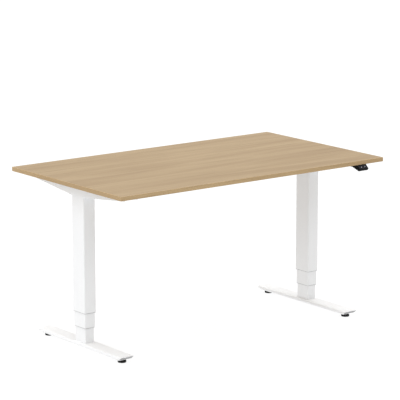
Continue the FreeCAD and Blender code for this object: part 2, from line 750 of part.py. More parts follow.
def handset_solid(inset, half_width):
    """Prism of the handset's side view, drawn in by an inset on every side."""
    top = underside - handset_plate
    tail_bottom = underside - handset_tail
    nose = (front_edge - handset_reach, underside - handset_face_drop)
    chin = (nose[0] + handset_chin[0], nose[1] - handset_chin[1])
    wedge = (front_edge + handset_wedge_end, tail_bottom)
    tail = (front_edge + handset_length, tail_bottom)
    back = (front_edge + handset_length, top)
    face_top = (front_edge + handset_front_gap, top)
    wire = Part.makePolygon([vec(0, y, z) for y, z in (face_top, nose, chin, wedge, tail, back, face_top)])
    if inset > 0:
        wire = wire.makeOffset2D(-inset)
    solid = Part.Face(wire).extrude(vec(2 * half_width, 0, 0))
    solid.translate(vec(handset_x - half_width, 0, 0))
    return solid


def face_placement():
    """Frame on the sloping face: x across, y up the slope, z outwards."""
    reach = handset_reach + handset_front_gap
    drop = handset_face_drop - handset_plate
    middle = vec(handset_x, front_edge + handset_front_gap - reach / 2, underside - handset_plate - drop / 2)
    return FreeCAD.Placement(middle, FreeCAD.Rotation(vec(1, 0, 0), math.degrees(math.atan2(drop, reach))))


def on_face(size_x, size_y, radius, z0, z1, x=0.0):
    """A rounded block that stands on the sloping face."""
    block = rounded_block(size_x, size_y, radius, z0, z1, x)
    block.Placement = face_placement().multiply(block.Placement)
    return block


def make_housing(opening_x, opening_y):
    """Hollow wedge with a recess for the faceplate and an opening behind it."""
    half = handset_width / 2
    inside = half - handset_wall
    top = underside - handset_plate
    housing = handset_solid(0.0, half).cut(handset_solid(handset_wall, inside))
    housing = housing.cut(box(handset_x - inside, handset_x + inside, front_edge + handset_cavity_gap,
                              front_edge + handset_length - handset_wall, top - handset_wall, top))
    panel_x, panel_y = faceplate_size
    housing = housing.cut(on_face(panel_x, panel_y, faceplate_corner, -faceplate_thickness, 0.0))
    return housing.cut(on_face(opening_x, opening_y, faceplate_corner - faceplate_ledge / 2,
                               -faceplate_opening, 0.0))


def make_button(x):
    """Cap that stands out of the faceplate, with a rim behind it."""
    width, height = button_size
    stand_out, thickness = button_flange
    rim_top = -faceplate_thickness - button_flange_gap
    cap = on_face(width, height, button_corner, -faceplate_thickness - button_travel - button_skirt,
                  button_proud, x)
    rim = on_face(width + 2 * stand_out, height + 2 * stand_out, button_corner, rim_top - thickness,
                  rim_top, x)
    return cap.fuse(rim)


def make_faceplate():
    """Inset plate with a window for each button."""
    panel_x, panel_y = faceplate_size
    width, height = button_size
    panel = on_face(panel_x, panel_y, faceplate_corner, -faceplate_thickness, 0.0)
    for sign in (-1, 1):
        panel = panel.cut(on_face(width + 2 * button_clearance, height + 2 * button_clearance,
                                  button_corner + button_clearance, -faceplate_thickness - cut_overrun,
                                  cut_overrun, sign * button_pitch / 2))
    return panel


def build_handset():
    """Mounting plate, housing, faceplate, circuit board, screws and the two buttons."""
    half = handset_width / 2
    top = underside - handset_plate
    plate = box(handset_x - half, handset_x + half, front_edge + handset_front_gap,
                front_edge + handset_length, top, underside)
    for x, y in handset_screw_axes():
        plate = plate.cut(cylinder(screw_radius + screw_hole_clearance, x, y, top, underside))
    opening_x = faceplate_size[0] - 2 * faceplate_ledge
    opening_y = faceplate_size[1] - 2 * faceplate_ledge
    board_top = -faceplate_thickness - button_travel - button_board_gap
    circuit = on_face(opening_x - 2 * button_board_clearance, opening_y - 2 * button_board_clearance,
                      2 * button_board_clearance, board_top - button_board_thickness, board_top)
    save("handset_mount_plate", plate)
    save("handset_housing", make_housing(opening_x, opening_y))
    save("handset_faceplate", make_faceplate())
    save("handset_circuit_board", circuit)
    save("handset_screws", *[make_wood_screw(x, y, top) for x, y in handset_screw_axes()])
    save("up_button", make_button(-button_pitch / 2))
    save("down_button", make_button(button_pitch / 2))


os.makedirs("parts", exist_ok=True)
build_feet()
build_columns()
build_top()
build_control_box()
build_handset()
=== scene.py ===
"""Looks of a height adjustable standing desk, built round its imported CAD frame.

Every visible part of the desk is a class that works out its own surfaces with numpy, in metres
and in the desk's frame: +X to the right along the top, +Y away from the user, +Z up, and the
floor at zero.  Places and sizes are read from the frame; the fields of each class hold the
finer sizes that the frame leaves out, such as edge radii, seams and screw recesses.
"""

import json
import logging
import math
from dataclasses import dataclass, field
from enum import Enum

import bpy
import numpy as np
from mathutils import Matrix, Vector
from mathutils.geometry import tessellate_polygon


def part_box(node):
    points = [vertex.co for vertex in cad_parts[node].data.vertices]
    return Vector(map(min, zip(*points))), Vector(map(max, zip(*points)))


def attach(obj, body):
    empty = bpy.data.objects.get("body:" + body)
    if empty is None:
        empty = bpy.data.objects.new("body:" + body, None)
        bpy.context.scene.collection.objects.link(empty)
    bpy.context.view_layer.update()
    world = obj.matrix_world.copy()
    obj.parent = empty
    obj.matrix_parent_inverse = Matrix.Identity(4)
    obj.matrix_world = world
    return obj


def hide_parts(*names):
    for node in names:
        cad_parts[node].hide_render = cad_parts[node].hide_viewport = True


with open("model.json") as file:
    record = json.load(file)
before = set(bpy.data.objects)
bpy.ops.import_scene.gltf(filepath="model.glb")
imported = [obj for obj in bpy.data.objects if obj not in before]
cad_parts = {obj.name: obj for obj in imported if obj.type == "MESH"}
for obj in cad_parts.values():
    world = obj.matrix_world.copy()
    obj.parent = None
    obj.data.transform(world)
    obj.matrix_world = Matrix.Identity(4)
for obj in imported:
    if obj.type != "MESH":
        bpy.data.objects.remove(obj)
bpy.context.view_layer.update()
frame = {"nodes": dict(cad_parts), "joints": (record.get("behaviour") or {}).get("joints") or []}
MM = 0.001
LOG = logging.getLogger("standing_desk")


# ---------------------------------------------------------------- shapes


@dataclass(frozen=True)
class Placement:
    """Where a shape's own x, y and z go in the desk's frame."""

    origin: tuple[float, float, float] = (0.0, 0.0, 0.0)
    x_axis: tuple[float, float, float] = (1.0, 0.0, 0.0)
    y_axis: tuple[float, float, float] = (0.0, 1.0, 0.0)
    z_axis: tuple[float, float, float] = (0.0, 0.0, 1.0)

    def put(self, points: np.ndarray) -> np.ndarray:
        """Own coordinates to the desk's: the origin plus each coordinate times its axis."""
        axes = np.array([self.x_axis, self.y_axis, self.z_axis])
        return np.asarray(self.origin) + points @ axes

    def at(self, x: float, y: float, z: float) -> "Placement":
        """The same axes round another origin."""
        return Placement((x, y, z), self.x_axis, self.y_axis, self.z_axis)

    def around(self, height: float, radius: float, turn: float) -> "Placement":
        """The same axes, up along z by a height and out from it at an angle in degrees.

        Args:
            height: how far up along z.
            radius: how far out from z.
            turn: the angle from x towards y, in degrees.

        Returns:
            The moved placement.
        """
        angle = math.radians(turn)
        offset = np.array([radius * math.cos(angle), radius * math.sin(angle), height])
        return self.at(*self.put(offset))


UPRIGHT = Placement()
ALONG_X = Placement(x_axis=(0.0, 1.0, 0.0), y_axis=(0.0, 0.0, 1.0), z_axis=(1.0, 0.0, 0.0))


@dataclass
class Shell:
    """A closed surface: points, four-sided faces, flat caps and one UV pair per face corner."""

    points: np.ndarray
    quads: np.ndarray
    caps: list[np.ndarray] = field(default_factory=list)
    corner_uv: np.ndarray | None = None

    def volume(self) -> float:
        """Signed volume: a sixth of all triangles' triple products about the points' mean.

        Returns:
            Cubic metres, below zero where the faces point inwards.
        """
        first = self.quads[:, [0, 1, 2]]
        second = self.quads[:, [0, 2, 3]]
        fans = [np.stack([np.full(len(cap) - 2, cap[0]), cap[1:-1], cap[2:]], axis=1)
                for cap in self.caps]
        corners = self.points[np.concatenate([first, second, *fans])]
        centred = corners - self.points.mean(axis=0)
        normals = np.cross(centred[:, 1], centred[:, 2])
        return float(np.einsum("ij,ij->i", centred[:, 0], normals).sum() / 6)

    def outward(self) -> "Shell":
        """The same surface with its faces pointing out.

        Returns:
            This shell, or one with every face turned round.
        """
        if self.volume() >= 0:
            return self
        uv = None if self.corner_uv is None else self.corner_uv[:, ::-1]
        return Shell(self.points, self.quads[:, ::-1], [cap[::-1] for cap in self.caps], uv)


def joined(shells: list[Shell]) -> Shell:
    """Several shells as one, each with its faces pointing out.

    Args:
        shells: the surfaces to join; they stay separate inside the result.

    Returns:
        One shell with all points and faces.
    """
    facing = [shell.outward() for shell in shells]
    starts = np.cumsum([0] + [len(shell.points) for shell in facing[:-1]])
    points = np.concatenate([shell.points for shell in facing])
    quads = np.concatenate([shell.quads + start for shell, start in zip(facing, starts)])
    caps = [cap + start for shell, start in zip(facing, starts) for cap in shell.caps]
    return Shell(points, quads, caps)


def bridge(low: np.ndarray, high: np.ndarray) -> np.ndarray:
    """Quads between rings of point numbers: each point, the next, and the two above them.

    Args:
        low: the lower rings' point numbers, rings by points.
        high: those of the rings above, in the same order.

    Returns:
        Faces by 4.
    """
    next_low = np.roll(low, -1, axis=1)
    next_high = np.roll(high, -1, axis=1)
    return np.stack([low, next_low, next_high, high], axis=-1).reshape(-1, 4)


def skin(rings: np.ndarray, looped: bool = False) -> Shell:
    """Quads between neighbouring rings of points.

    Args:
        rings: rings by points by 3; each ring is closed on itself.
        looped: joins the last ring to the first; otherwise both ends get a flat cap.

    Returns:
        The closed shell.
    """
    index = np.arange(rings.shape[0] * rings.shape[1]).reshape(rings.shape[:2])
    quads = bridge(index, np.roll(index, -1, axis=0)) if looped else bridge(index[:-1], index[1:])
    caps = [] if looped else [index[0][::-1], index[-1]]
    return Shell(rings.reshape(-1, 3), quads, caps).outward()


def raised(flat: np.ndarray, heights: np.ndarray) -> np.ndarray:
    """Rings of flat points, each ring lifted to its own height."""
    levels = np.broadcast_to(heights[:, None, None], flat.shape[:2] + (1,))
    return np.concatenate([flat, levels], axis=-1)


def arc(radius: float, start: float, end: float, count: int,
        centre: tuple[float, float] = (0.0, 0.0)) -> np.ndarray:
    """Points on a circle between two angles in degrees: centre plus radius times cosine, sine."""
    angle = np.radians(np.linspace(start, end, count))
    return np.asarray(centre) + radius * np.stack([np.cos(angle), np.sin(angle)], axis=-1)


def angles_round(count: int) -> np.ndarray:
    """Evenly spaced angles once round, in radians."""
    return np.linspace(0, 2 * np.pi, count, endpoint=False)


def rounded_rectangle(width: float, height: float, radius: float, count: int = 7) -> np.ndarray:
    """Outline of a rectangle with four quarter circles for corners, centred on the origin.

    Args:
        width: size along the first axis.
        height: size along the second axis.
        radius: corner radius.
        count: points in each corner's arc.

    Returns:
        Points by 2, anticlockwise.
    """
    x = width / 2 - radius
    y = height / 2 - radius
    corners = ((x, y, 0), (-x, y, 90), (-x, -y, 180), (x, -y, 270))
    return np.concatenate([arc(radius, turn, turn + 90, count, (cx, cy)) for cx, cy, turn in corners])


def rounded_polygon(corners: np.ndarray, radii: np.ndarray, count: int = 6) -> np.ndarray:
    """Outline of a polygon whose corners are cut by arcs that touch both sides.

    At each corner the arc's ends lie radius over the tangent of half the inside angle from it,
    and its centre lies on the bisector.

    Args:
        corners: points by 2, anticlockwise.
        radii: one radius for each corner.
        count: points in each arc.

    Returns:
        Points by 2, anticlockwise.
    """
    before = np.roll(corners, 1, axis=0) - corners
    after = np.roll(corners, -1, axis=0) - corners
    before /= np.linalg.norm(before, axis=1, keepdims=True)
    after /= np.linalg.norm(after, axis=1, keepdims=True)
    half = np.arccos(np.clip((before * after).sum(axis=1), -1, 1)) / 2
    bisector = before + after
    bisector /= np.linalg.norm(bisector, axis=1, keepdims=True)
    centres = corners + bisector * (radii / np.sin(half))[:, None]
    starts = corners + before * (radii / np.tan(half))[:, None] - centres
    ends = corners + after * (radii / np.tan(half))[:, None] - centres
    first = np.arctan2(starts[:, 1], starts[:, 0])
    turn = np.arctan2(ends[:, 1], ends[:, 0]) - first
    turn = (turn + np.pi) % (2 * np.pi) - np.pi
    angle = first[:, None] + turn[:, None] * np.linspace(0, 1, count)
    circle = np.stack([np.cos(angle), np.sin(angle)], axis=-1)
    return (centres[:, None] + radii[:, None, None] * circle).reshape(-1, 2)


def inset(outline: np.ndarray, distances: np.ndarray) -> np.ndarray:
    """Copies of an anticlockwise outline moved inwards by each distance.

    Each point moves along the sum of its two sides' inward normals, over one plus their dot
    product, so that every side moves by exactly the distance.

    Args:
        outline: points by 2.
        distances: how far each copy moves in.

    Returns:
        Copies by points by 2.
    """
    side = np.roll(outline, -1, axis=0) - outline
    side /= np.linalg.norm(side, axis=1, keepdims=True)
    normal = np.stack([-side[:, 1], side[:, 0]], axis=-1)
    previous = np.roll(normal, 1, axis=0)
    miter = (normal + previous) / (1 + (normal * previous).sum(axis=1, keepdims=True))
    return outline[None] + np.asarray(distances)[:, None, None] * miter[None]


def loft(outline: np.ndarray, profile: np.ndarray, place: Placement, looped: bool = False) -> Shell:
    """A shell whose rings are copies of one outline.

    Args:
        outline: points by 2 in the shape's own x and y.
        profile: rings by 2, how far each ring is inset and its own z.
        place: where the shape goes.
        looped: the profile closes on itself, as for a tube's wall.

    Returns:
        The closed shell.
    """
    return skin(place.put(raised(inset(outline, profile[:, 0]), profile[:, 1])), looped)


def block_profile(low: float, high: float, low_radius: float, high_radius: float,
                  count: int = 5) -> np.ndarray:
    """Side of a block with rounded ends, as inset and height: quarter circle, wall, another.

    Args:
        low: height of the bottom.
        high: height of the top.
        low_radius: radius of the lower edge.
        high_radius: radius of the upper edge.
        count: points in each quarter circle.

    Returns:
        Points by 2, from the bottom to the top.
    """
    bottom = arc(low_radius, 270, 180, count, (low_radius, low + low_radius))
    top = arc(high_radius, 180, 90, count, (high_radius, high - high_radius))
    return np.concatenate([bottom, top])


def wall_profile(low: float, high: float, wall: float, radius: float, count: int = 4) -> np.ndarray:
    """Cross-section of a tube's wall, as inset and height: a long rectangle with round corners."""
    section = rounded_rectangle(wall, high - low, radius, count)
    return section + np.array([wall / 2, (high + low) / 2])


def windowed(rim: np.ndarray, windows: list[np.ndarray], profile: np.ndarray,
             place: Placement) -> Shell:
    """A plate with openings, all of whose edges have the same profile.

    The walls are quads between each outline's rings, and triangles fill the flat faces between
    the rim and the windows.  A window runs clockwise here, so that its inset widens it.

    Args:
        rim: the plate's outline, anticlockwise.
        windows: the openings' outlines, anticlockwise.
        profile: rings by 2, inset and height, from the bottom to the top.
        place: where the plate goes.

    Returns:
        The closed shell.
    """
    outlines = [rim, *(window[::-1] for window in windows)]
    bands = [inset(outline, profile[:, 0]) for outline in outlines]
    starts = np.cumsum([0] + [len(profile) * len(outline) for outline in outlines])
    layers = [start + np.arange(len(profile) * len(outline)).reshape(len(profile), -1)
              for start, outline in zip(starts, outlines)]
    quads = np.concatenate([bridge(layer[:-1], layer[1:]) for layer in layers])
    points = np.concatenate([raised(band, profile[:, 1]).reshape(-1, 3) for band in bands])
    caps = [cap for end, facing in ((0, -1), (-1, 1))
            for cap in fill([band[end] for band in bands], [layer[end] for layer in layers], facing)]
    return Shell(place.put(points), quads, caps).outward()


def fill(loops: list[np.ndarray], numbers: list[np.ndarray], facing: int) -> list[np.ndarray]:
    """Triangles between a flat outline and its openings, turned by the sign of their area.

    Args:
        loops: the outline's points by 2, then those of each opening.
        numbers: the point numbers of each loop in the shell.
        facing: 1 for triangles that run anticlockwise, -1 for clockwise.

    Returns:
        The point numbers of each triangle.
    """
    flat = np.concatenate(loops)
    owner = np.concatenate(numbers)
    found = np.array(tessellate_polygon([[Vector((x, y, 0.0)) for x, y in loop] for loop in loops]))
    first = flat[found[:, 1]] - flat[found[:, 0]]
    second = flat[found[:, 2]] - flat[found[:, 0]]
    area = first[:, 0] * second[:, 1] - first[:, 1] * second[:, 0]
    return list(owner[np.where((area * facing > 0)[:, None], found, found[:, ::-1])])


def walked(points: np.ndarray) -> np.ndarray:
    """Length along a closed line to each of its points, and round to the first one again."""
    steps = np.linalg.norm(np.roll(points, -1, axis=0) - points, axis=1)
    return np.concatenate([[0.0], np.cumsum(steps)])


def turned(profile: np.ndarray, place: Placement, count: int) -> Shell:
    """A shell turned about its own z: each profile point, radius and height, becomes a circle.

    Args:
        profile: points by 2, radius and height.
        place: where the shape goes.
        count: points in each circle.

    Returns:
        The closed shell.
    """
    angle = angles_round(count)
    ring = np.stack([np.cos(angle), np.sin(angle)], axis=-1)
    return skin(place.put(raised(profile[:, 0, None, None] * ring[None], profile[:, 1])))


def polar(radius: np.ndarray | float, angle: np.ndarray, height: float) -> np.ndarray:
    """One ring of points from a radius, or one for each angle."""
    level = np.full_like(angle, height)
    return np.stack([radius * np.cos(angle), radius * np.sin(angle), level], axis=-1)


CROSS_ARM_SHARE = 0.28  # half an arm's width in a cross recess, as a share of its length


class Recess(Enum):
    """The driver that a screw takes."""

    CROSS = "cross"
    HEXAGON = "hexagon"

    def radius(self, angle: np.ndarray, size: float) -> np.ndarray:
        """Distance from the screw's axis to the recess's wall.

        A cross is the smaller of the arm's length and half its width over the sine of the
        angle from the nearest arm; a hexagon is its flat's distance over the cosine of the
        angle from the nearest flat.

        Args:
            angle: angles about the screw's axis, in radians.
            size: from the axis to an arm's end or to a hexagon's corner.

        Returns:
            One distance for each angle.
        """
        if self is Recess.CROSS:
            near = (angle + np.pi / 4) % (np.pi / 2) - np.pi / 4
            off_arm = np.maximum(np.abs(np.sin(near)), 1e-6)
            return np.minimum(size, CROSS_ARM_SHARE * size / off_arm)
        near = (angle + np.pi / 6) % (np.pi / 3) - np.pi / 6
        return size * math.cos(math.pi / 6) / np.cos(near)


# ---------------------------------------------------------------- materials


Colour = tuple[float, float, float]
Stretch = tuple[float, float, float]

# The Mix node's colour sockets come after those for numbers and vectors.
MIX_FIRST_COLOUR = 6
MIX_SECOND_COLOUR = 7
MIX_COLOUR_RESULT = 2


class Grain(Enum):
    """The direction that a wood grain runs in."""

    ALONG_TOP = "object x"
    ALONG_BAND = "uv u"


class Graph:
    """A material's node tree, with short calls for the nodes that the finishes use."""

    def __init__(self, name: str) -> None:
        """Starts a material of that name with a Principled shader.

        Args:
            name: the material's name.
        """
        self.material = bpy.data.materials.new(name)
        self.material.use_nodes = True
        self.tree = self.material.node_tree
        self.tree.nodes.clear()
        output = self.tree.nodes.new("ShaderNodeOutputMaterial")
        self.shader = self.tree.nodes.new("ShaderNodeBsdfPrincipled")
        self.tree.links.new(self.shader.outputs["BSDF"], output.inputs["Surface"])

    def link(self, target: bpy.types.NodeSocket, source: object) -> None:
        """Feeds a socket from another socket, or gives it a plain value.

        Args:
            target: the input socket.
            source: an output socket, or the value itself.
        """
        if isinstance(source, bpy.types.NodeSocket):
            self.tree.links.new(source, target)
        else:
            target.default_value = source

    def set(self, **values: object) -> None:
        """Feeds or sets the shader's own sockets, with underscores for spaces in their names."""
        for name, value in values.items():
            self.link(self.shader.inputs[name.replace("_", " ")], value)

    def vector(self, grain: Grain = Grain.ALONG_TOP) -> bpy.types.NodeSocket:
        """Object coordinates, or the piece's own UV map.

        Args:
            grain: which of the two the pattern follows.

        Returns:
            The coordinates' socket.
        """
        if grain is Grain.ALONG_BAND:
            node = self.tree.nodes.new("ShaderNodeUVMap")
            node.uv_map = "band"
            return node.outputs["UV"]
        return self.tree.nodes.new("ShaderNodeTexCoord").outputs["Object"]

    def stretched(self, source: bpy.types.NodeSocket, scale: Stretch,
                  offset: Stretch = (0.0, 0.0, 0.0)) -> bpy.types.NodeSocket:
        """Coordinates times a scale for each axis, plus an offset.

        Args:
            source: the coordinates.
            scale: the factor for each axis.
            offset: what is added on each axis.

        Returns:
            The new coordinates' socket.
        """
        node = self.tree.nodes.new("ShaderNodeMapping")
        node.inputs["Location"].default_value = offset
        node.inputs["Scale"].default_value = scale
        self.tree.links.new(source, node.inputs["Vector"])
        return node.outputs["Vector"]

    def noise(self, source: bpy.types.NodeSocket, scale: float, detail: float = 3.0,
              roughness: float = 0.5, distortion: float = 0.0) -> bpy.types.NodeSocket:
        """Smooth noise from 0 to 1.

        Args:
            source: the coordinates.
            scale: how many waves fit in one unit.
            detail: how many finer layers are added.
            roughness: how strong the finer layers are.
            distortion: how far the waves are bent.

        Returns:
            The noise's socket.
        """
        node = self.tree.nodes.new("ShaderNodeTexNoise")
        node.inputs["Scale"].default_value = scale
        node.inputs["Detail"].default_value = detail
        node.inputs["Roughness"].default_value = roughness
        node.inputs["Distortion"].default_value = distortion
        self.tree.links.new(source, node.inputs["Vector"])
        return node.outputs["Fac"]

    def cells(self, source: bpy.types.NodeSocket, scale: float) -> bpy.types.NodeSocket:
        """Distance to the nearest of scattered points.

        Args:
            source: the coordinates.
            scale: how many cells fit in one unit.

        Returns:
            The distance's socket.
        """
        node = self.tree.nodes.new("ShaderNodeTexVoronoi")
        node.inputs["Scale"].default_value = scale
        self.tree.links.new(source, node.inputs["Vector"])
        return node.outputs["Distance"]

    def remap(self, value: bpy.types.NodeSocket, low: float, high: float,
              to_low: float = 0.0, to_high: float = 1.0) -> bpy.types.NodeSocket:
        """A range of a value stretched to another, smoothly and without overshoot.

        Args:
            value: the value's socket.
            low: where the range starts.
            high: where the range ends.
            to_low: the result at the start.
            to_high: the result at the end.

        Returns:
            The result's socket.
        """
        node = self.tree.nodes.new("ShaderNodeMapRange")
        node.interpolation_type = "SMOOTHSTEP"
        node.inputs["From Min"].default_value = low
        node.inputs["From Max"].default_value = high
        node.inputs["To Min"].default_value = to_low
        node.inputs["To Max"].default_value = to_high
        self.tree.links.new(value, node.inputs["Value"])
        return node.outputs["Result"]

    def blend(self, factor: object, first: object, second: object) -> bpy.types.NodeSocket:
        """A colour between two others.

        Args:
            factor: 0 for the first colour and 1 for the second, or its socket.
            first: a colour or its socket.
            second: a colour or its socket.

        Returns:
            The mixed colour's socket.
        """
        node = self.tree.nodes.new("ShaderNodeMix")
        node.data_type = "RGBA"
        self.link(node.inputs["Factor"], factor)
        self.link(node.inputs[MIX_FIRST_COLOUR], first)
        self.link(node.inputs[MIX_SECOND_COLOUR], second)
        return node.outputs[MIX_COLOUR_RESULT]

    def sum(self, first: bpy.types.NodeSocket, second: bpy.types.NodeSocket,
            share: float) -> bpy.types.NodeSocket:
        """The first value plus a share of the second.

        Args:
            first: the value that counts in full.
            second: the value that counts in part.
            share: how much of the second value is added.

        Returns:
            The sum's socket.
        """
        node = self.tree.nodes.new("ShaderNodeMath")
        node.operation = "MULTIPLY_ADD"
        self.tree.links.new(second, node.inputs[0])
        node.inputs[1].default_value = share
        self.tree.links.new(first, node.inputs[2])
        return node.outputs["Value"]

    def bump(self, height: bpy.types.NodeSocket, depth: float) -> None:
        """Gives the surface relief of that depth in metres.

        Args:
            height: the relief's socket.
            depth: metres for one unit of the relief.
        """
        node = self.tree.nodes.new("ShaderNodeBump")
        node.inputs["Distance"].default_value = depth
        self.tree.links.new(height, node.inputs["Height"])
        self.tree.links.new(node.outputs["Normal"], self.shader.inputs["Normal"])


def rgba(colour: Colour, factor: float = 1.0) -> tuple[float, float, float, float]:
    """A colour times a factor, with full alpha."""
    return (colour[0] * factor, colour[1] * factor, colour[2] * factor, 1.0)


@dataclass(frozen=True)
class WoodLaminate:
    """Satin oak decor: broad soft figure, fine streaks and short pores along one direction."""

    colour: Colour
    grain: Grain = Grain.ALONG_TOP
    contrast: float = 1.0
    roughness: float = 0.5
    figure: Stretch = (0.9, 11.0, 11.0)
    streak: Stretch = (2.2, 90.0, 90.0)
    fibre: Stretch = (14.0, 620.0, 620.0)
    pore: Stretch = (28.0, 900.0, 900.0)
    warmth: Colour = (1.03, 0.985, 0.95)
    tone_step: float = 0.075
    pore_tone: float = 0.62
    relief: float = 0.06 * MM

    def dress(self, graph: Graph) -> None:
        """Builds the figure from noises stretched along the grain, from coarse to fine.

        Each finer layer darkens the one below it by more steps of tone where its noise is high.

        Args:
            graph: the node tree to fill.
        """
        source = graph.vector(self.grain)
        figure = graph.noise(graph.stretched(source, self.figure), 1.0, 4.0, 0.55, 0.6)
        streaks = graph.noise(graph.stretched(source, self.streak, (3.1, 0.0, 0.0)), 1.0, 6.0, 0.65, 0.25)
        fibres = graph.noise(graph.stretched(source, self.fibre), 1.0, 3.0, 0.6)
        pores = graph.noise(graph.stretched(source, self.pore, (0.0, 5.0, 5.0)), 1.0, 2.0, 0.5)
        spots = graph.remap(pores, 0.66, 0.74)
        warm = tuple(part * tint for part, tint in zip(self.colour, self.warmth))
        step = self.tone_step * self.contrast
        base = graph.blend(graph.remap(figure, 0.35, 0.65),
                           rgba(self.colour, 1.0 + step), rgba(warm, 1.0 - step))
        dark = graph.blend(graph.remap(streaks, 0.52, 0.74), base, rgba(warm, 1.0 - 2.4 * step))
        fine = graph.blend(graph.remap(fibres, 0.45, 0.75, 0.0, 0.35), dark, rgba(warm, 1.0 - 2.8 * step))
        colour = graph.blend(graph.remap(spots, 0.0, 1.0, 0.0, 0.45), fine, rgba(warm, self.pore_tone))
        gloss = graph.remap(streaks, 0.3, 0.8, self.roughness, self.roughness + 0.1)
        graph.set(Base_Color=colour, Roughness=gloss, Specular_IOR_Level=0.35)
        graph.bump(graph.sum(fibres, spots, -0.8), self.relief)


@dataclass(frozen=True)
class PowderCoat:
    """Baked powder paint: a fine orange peel, with slightly uneven tone and gloss."""

    colour: Colour
    roughness: float = 0.42
    peel: float = 0.05 * MM
    wave_scale: float = 480.0
    grain_scale: float = 1500.0
    cloud_scale: float = 7.0

    def dress(self, graph: Graph) -> None:
        """Orange peel is two noises of about 2 mm and 0.7 mm.

        Args:
            graph: the node tree to fill.
        """
        source = graph.vector()
        waves = graph.noise(source, self.wave_scale, 2.0)
        grains = graph.noise(source, self.grain_scale, 2.0)
        cloud = graph.remap(graph.noise(source, self.cloud_scale, 3.0), 0.3, 0.7)
        gloss = graph.remap(grains, 0.3, 0.7, self.roughness, self.roughness + 0.08)
        graph.set(Base_Color=graph.blend(cloud, rgba(self.colour, 0.985), rgba(self.colour)),
                  Roughness=gloss, Specular_IOR_Level=0.4)
        graph.bump(graph.sum(waves, grains, 0.5), self.peel)


@dataclass(frozen=True)
class MouldedPlastic:
    """Spark-textured plastic: small pits, a faint flow mark and lighter rubbed spots."""

    colour: Colour
    roughness: float = 0.5
    pit_scale: float = 1700.0
    depth: float = 0.06 * MM
    specular: float = 0.5
    flow: Stretch = (18.0, 45.0, 45.0)

    def dress(self, graph: Graph) -> None:
        """The pits are cells of about 0.6 mm, and the flow mark is a stretched noise.

        Args:
            graph: the node tree to fill.
        """
        source = graph.vector()
        flow = graph.noise(graph.stretched(source, self.flow), 1.0, 4.0)
        tone = graph.blend(graph.remap(flow, 0.35, 0.7), rgba(self.colour, 0.92), rgba(self.colour, 1.14))
        gloss = graph.remap(flow, 0.3, 0.7, self.roughness - 0.05, self.roughness + 0.06)
        graph.set(Base_Color=tone, Roughness=gloss, Specular_IOR_Level=self.specular)
        graph.bump(graph.cells(source, self.pit_scale), self.depth)


@dataclass(frozen=True)
class Metal:
    """Bare or plated metal with fine turning or rolling lines and a mottled plating tone."""

    colour: Colour
    roughness: float = 0.32
    lines: Stretch = (900.0, 900.0, 120.0)
    mottle_scale: float = 160.0
    relief: float = 0.03 * MM

    def dress(self, graph: Graph) -> None:
        """The lines are a noise stretched along the part.

        Args:
            graph: the node tree to fill.
        """
        source = graph.vector()
        scratches = graph.noise(graph.stretched(source, self.lines), 1.0, 3.0, 0.6)
        mottle = graph.noise(source, self.mottle_scale, 4.0)
        tone = graph.blend(graph.remap(mottle, 0.35, 0.7), rgba(self.colour, 0.84), rgba(self.colour, 1.08))
        rough = graph.remap(scratches, 0.3, 0.75, self.roughness - 0.08, self.roughness + 0.14)
        graph.set(Base_Color=tone, Metallic=1.0, Roughness=rough)
        graph.bump(scratches, self.relief)


@dataclass(frozen=True)
class CastAlloy:
    """Die-cast housing metal: grainy skin, dull, with darker pores."""

    colour: Colour
    roughness: float = 0.55
    grain_scale: float = 900.0
    pore_scale: float = 600.0
    relief: float = 0.12 * MM

    def dress(self, graph: Graph) -> None:
        """Grain of about 1 mm with pores where the cells are widest.

        Args:
            graph: the node tree to fill.
        """
        source = graph.vector()
        grain = graph.noise(source, self.grain_scale, 5.0, 0.65)
        pores = graph.remap(graph.cells(source, self.pore_scale), 0.55, 0.8)
        tone = graph.blend(pores, rgba(self.colour), rgba(self.colour, 0.6))
        gloss = graph.remap(grain, 0.3, 0.7, self.roughness, 0.7)
        graph.set(Base_Color=tone, Metallic=0.85, Roughness=gloss)
        graph.bump(grain, self.relief)


@dataclass(frozen=True)
class Rubber:
    """Matt rubber with a fine grain and dusty patches."""

    colour: Colour
    dust: Colour = (0.075, 0.073, 0.07)
    roughness: float = 0.75
    specular: float = 0.3
    grain_scale: float = 2200.0
    patch_scale: float = 210.0
    relief: float = 0.07 * MM

    def dress(self, graph: Graph) -> None:
        """Dust gathers in soft patches of a few millimetres.

        Args:
            graph: the node tree to fill.
        """
        source = graph.vector()
        patches = graph.noise(source, self.patch_scale, 5.0, 0.6)
        tone = graph.blend(graph.remap(patches, 0.52, 0.78, 0.0, 0.35), rgba(self.colour), rgba(self.dust))
        gloss = graph.remap(patches, 0.3, 0.8, self.roughness, 0.9)
        graph.set(Base_Color=tone, Roughness=gloss, Specular_IOR_Level=self.specular)
        graph.bump(graph.noise(source, self.grain_scale, 2.0), self.relief)


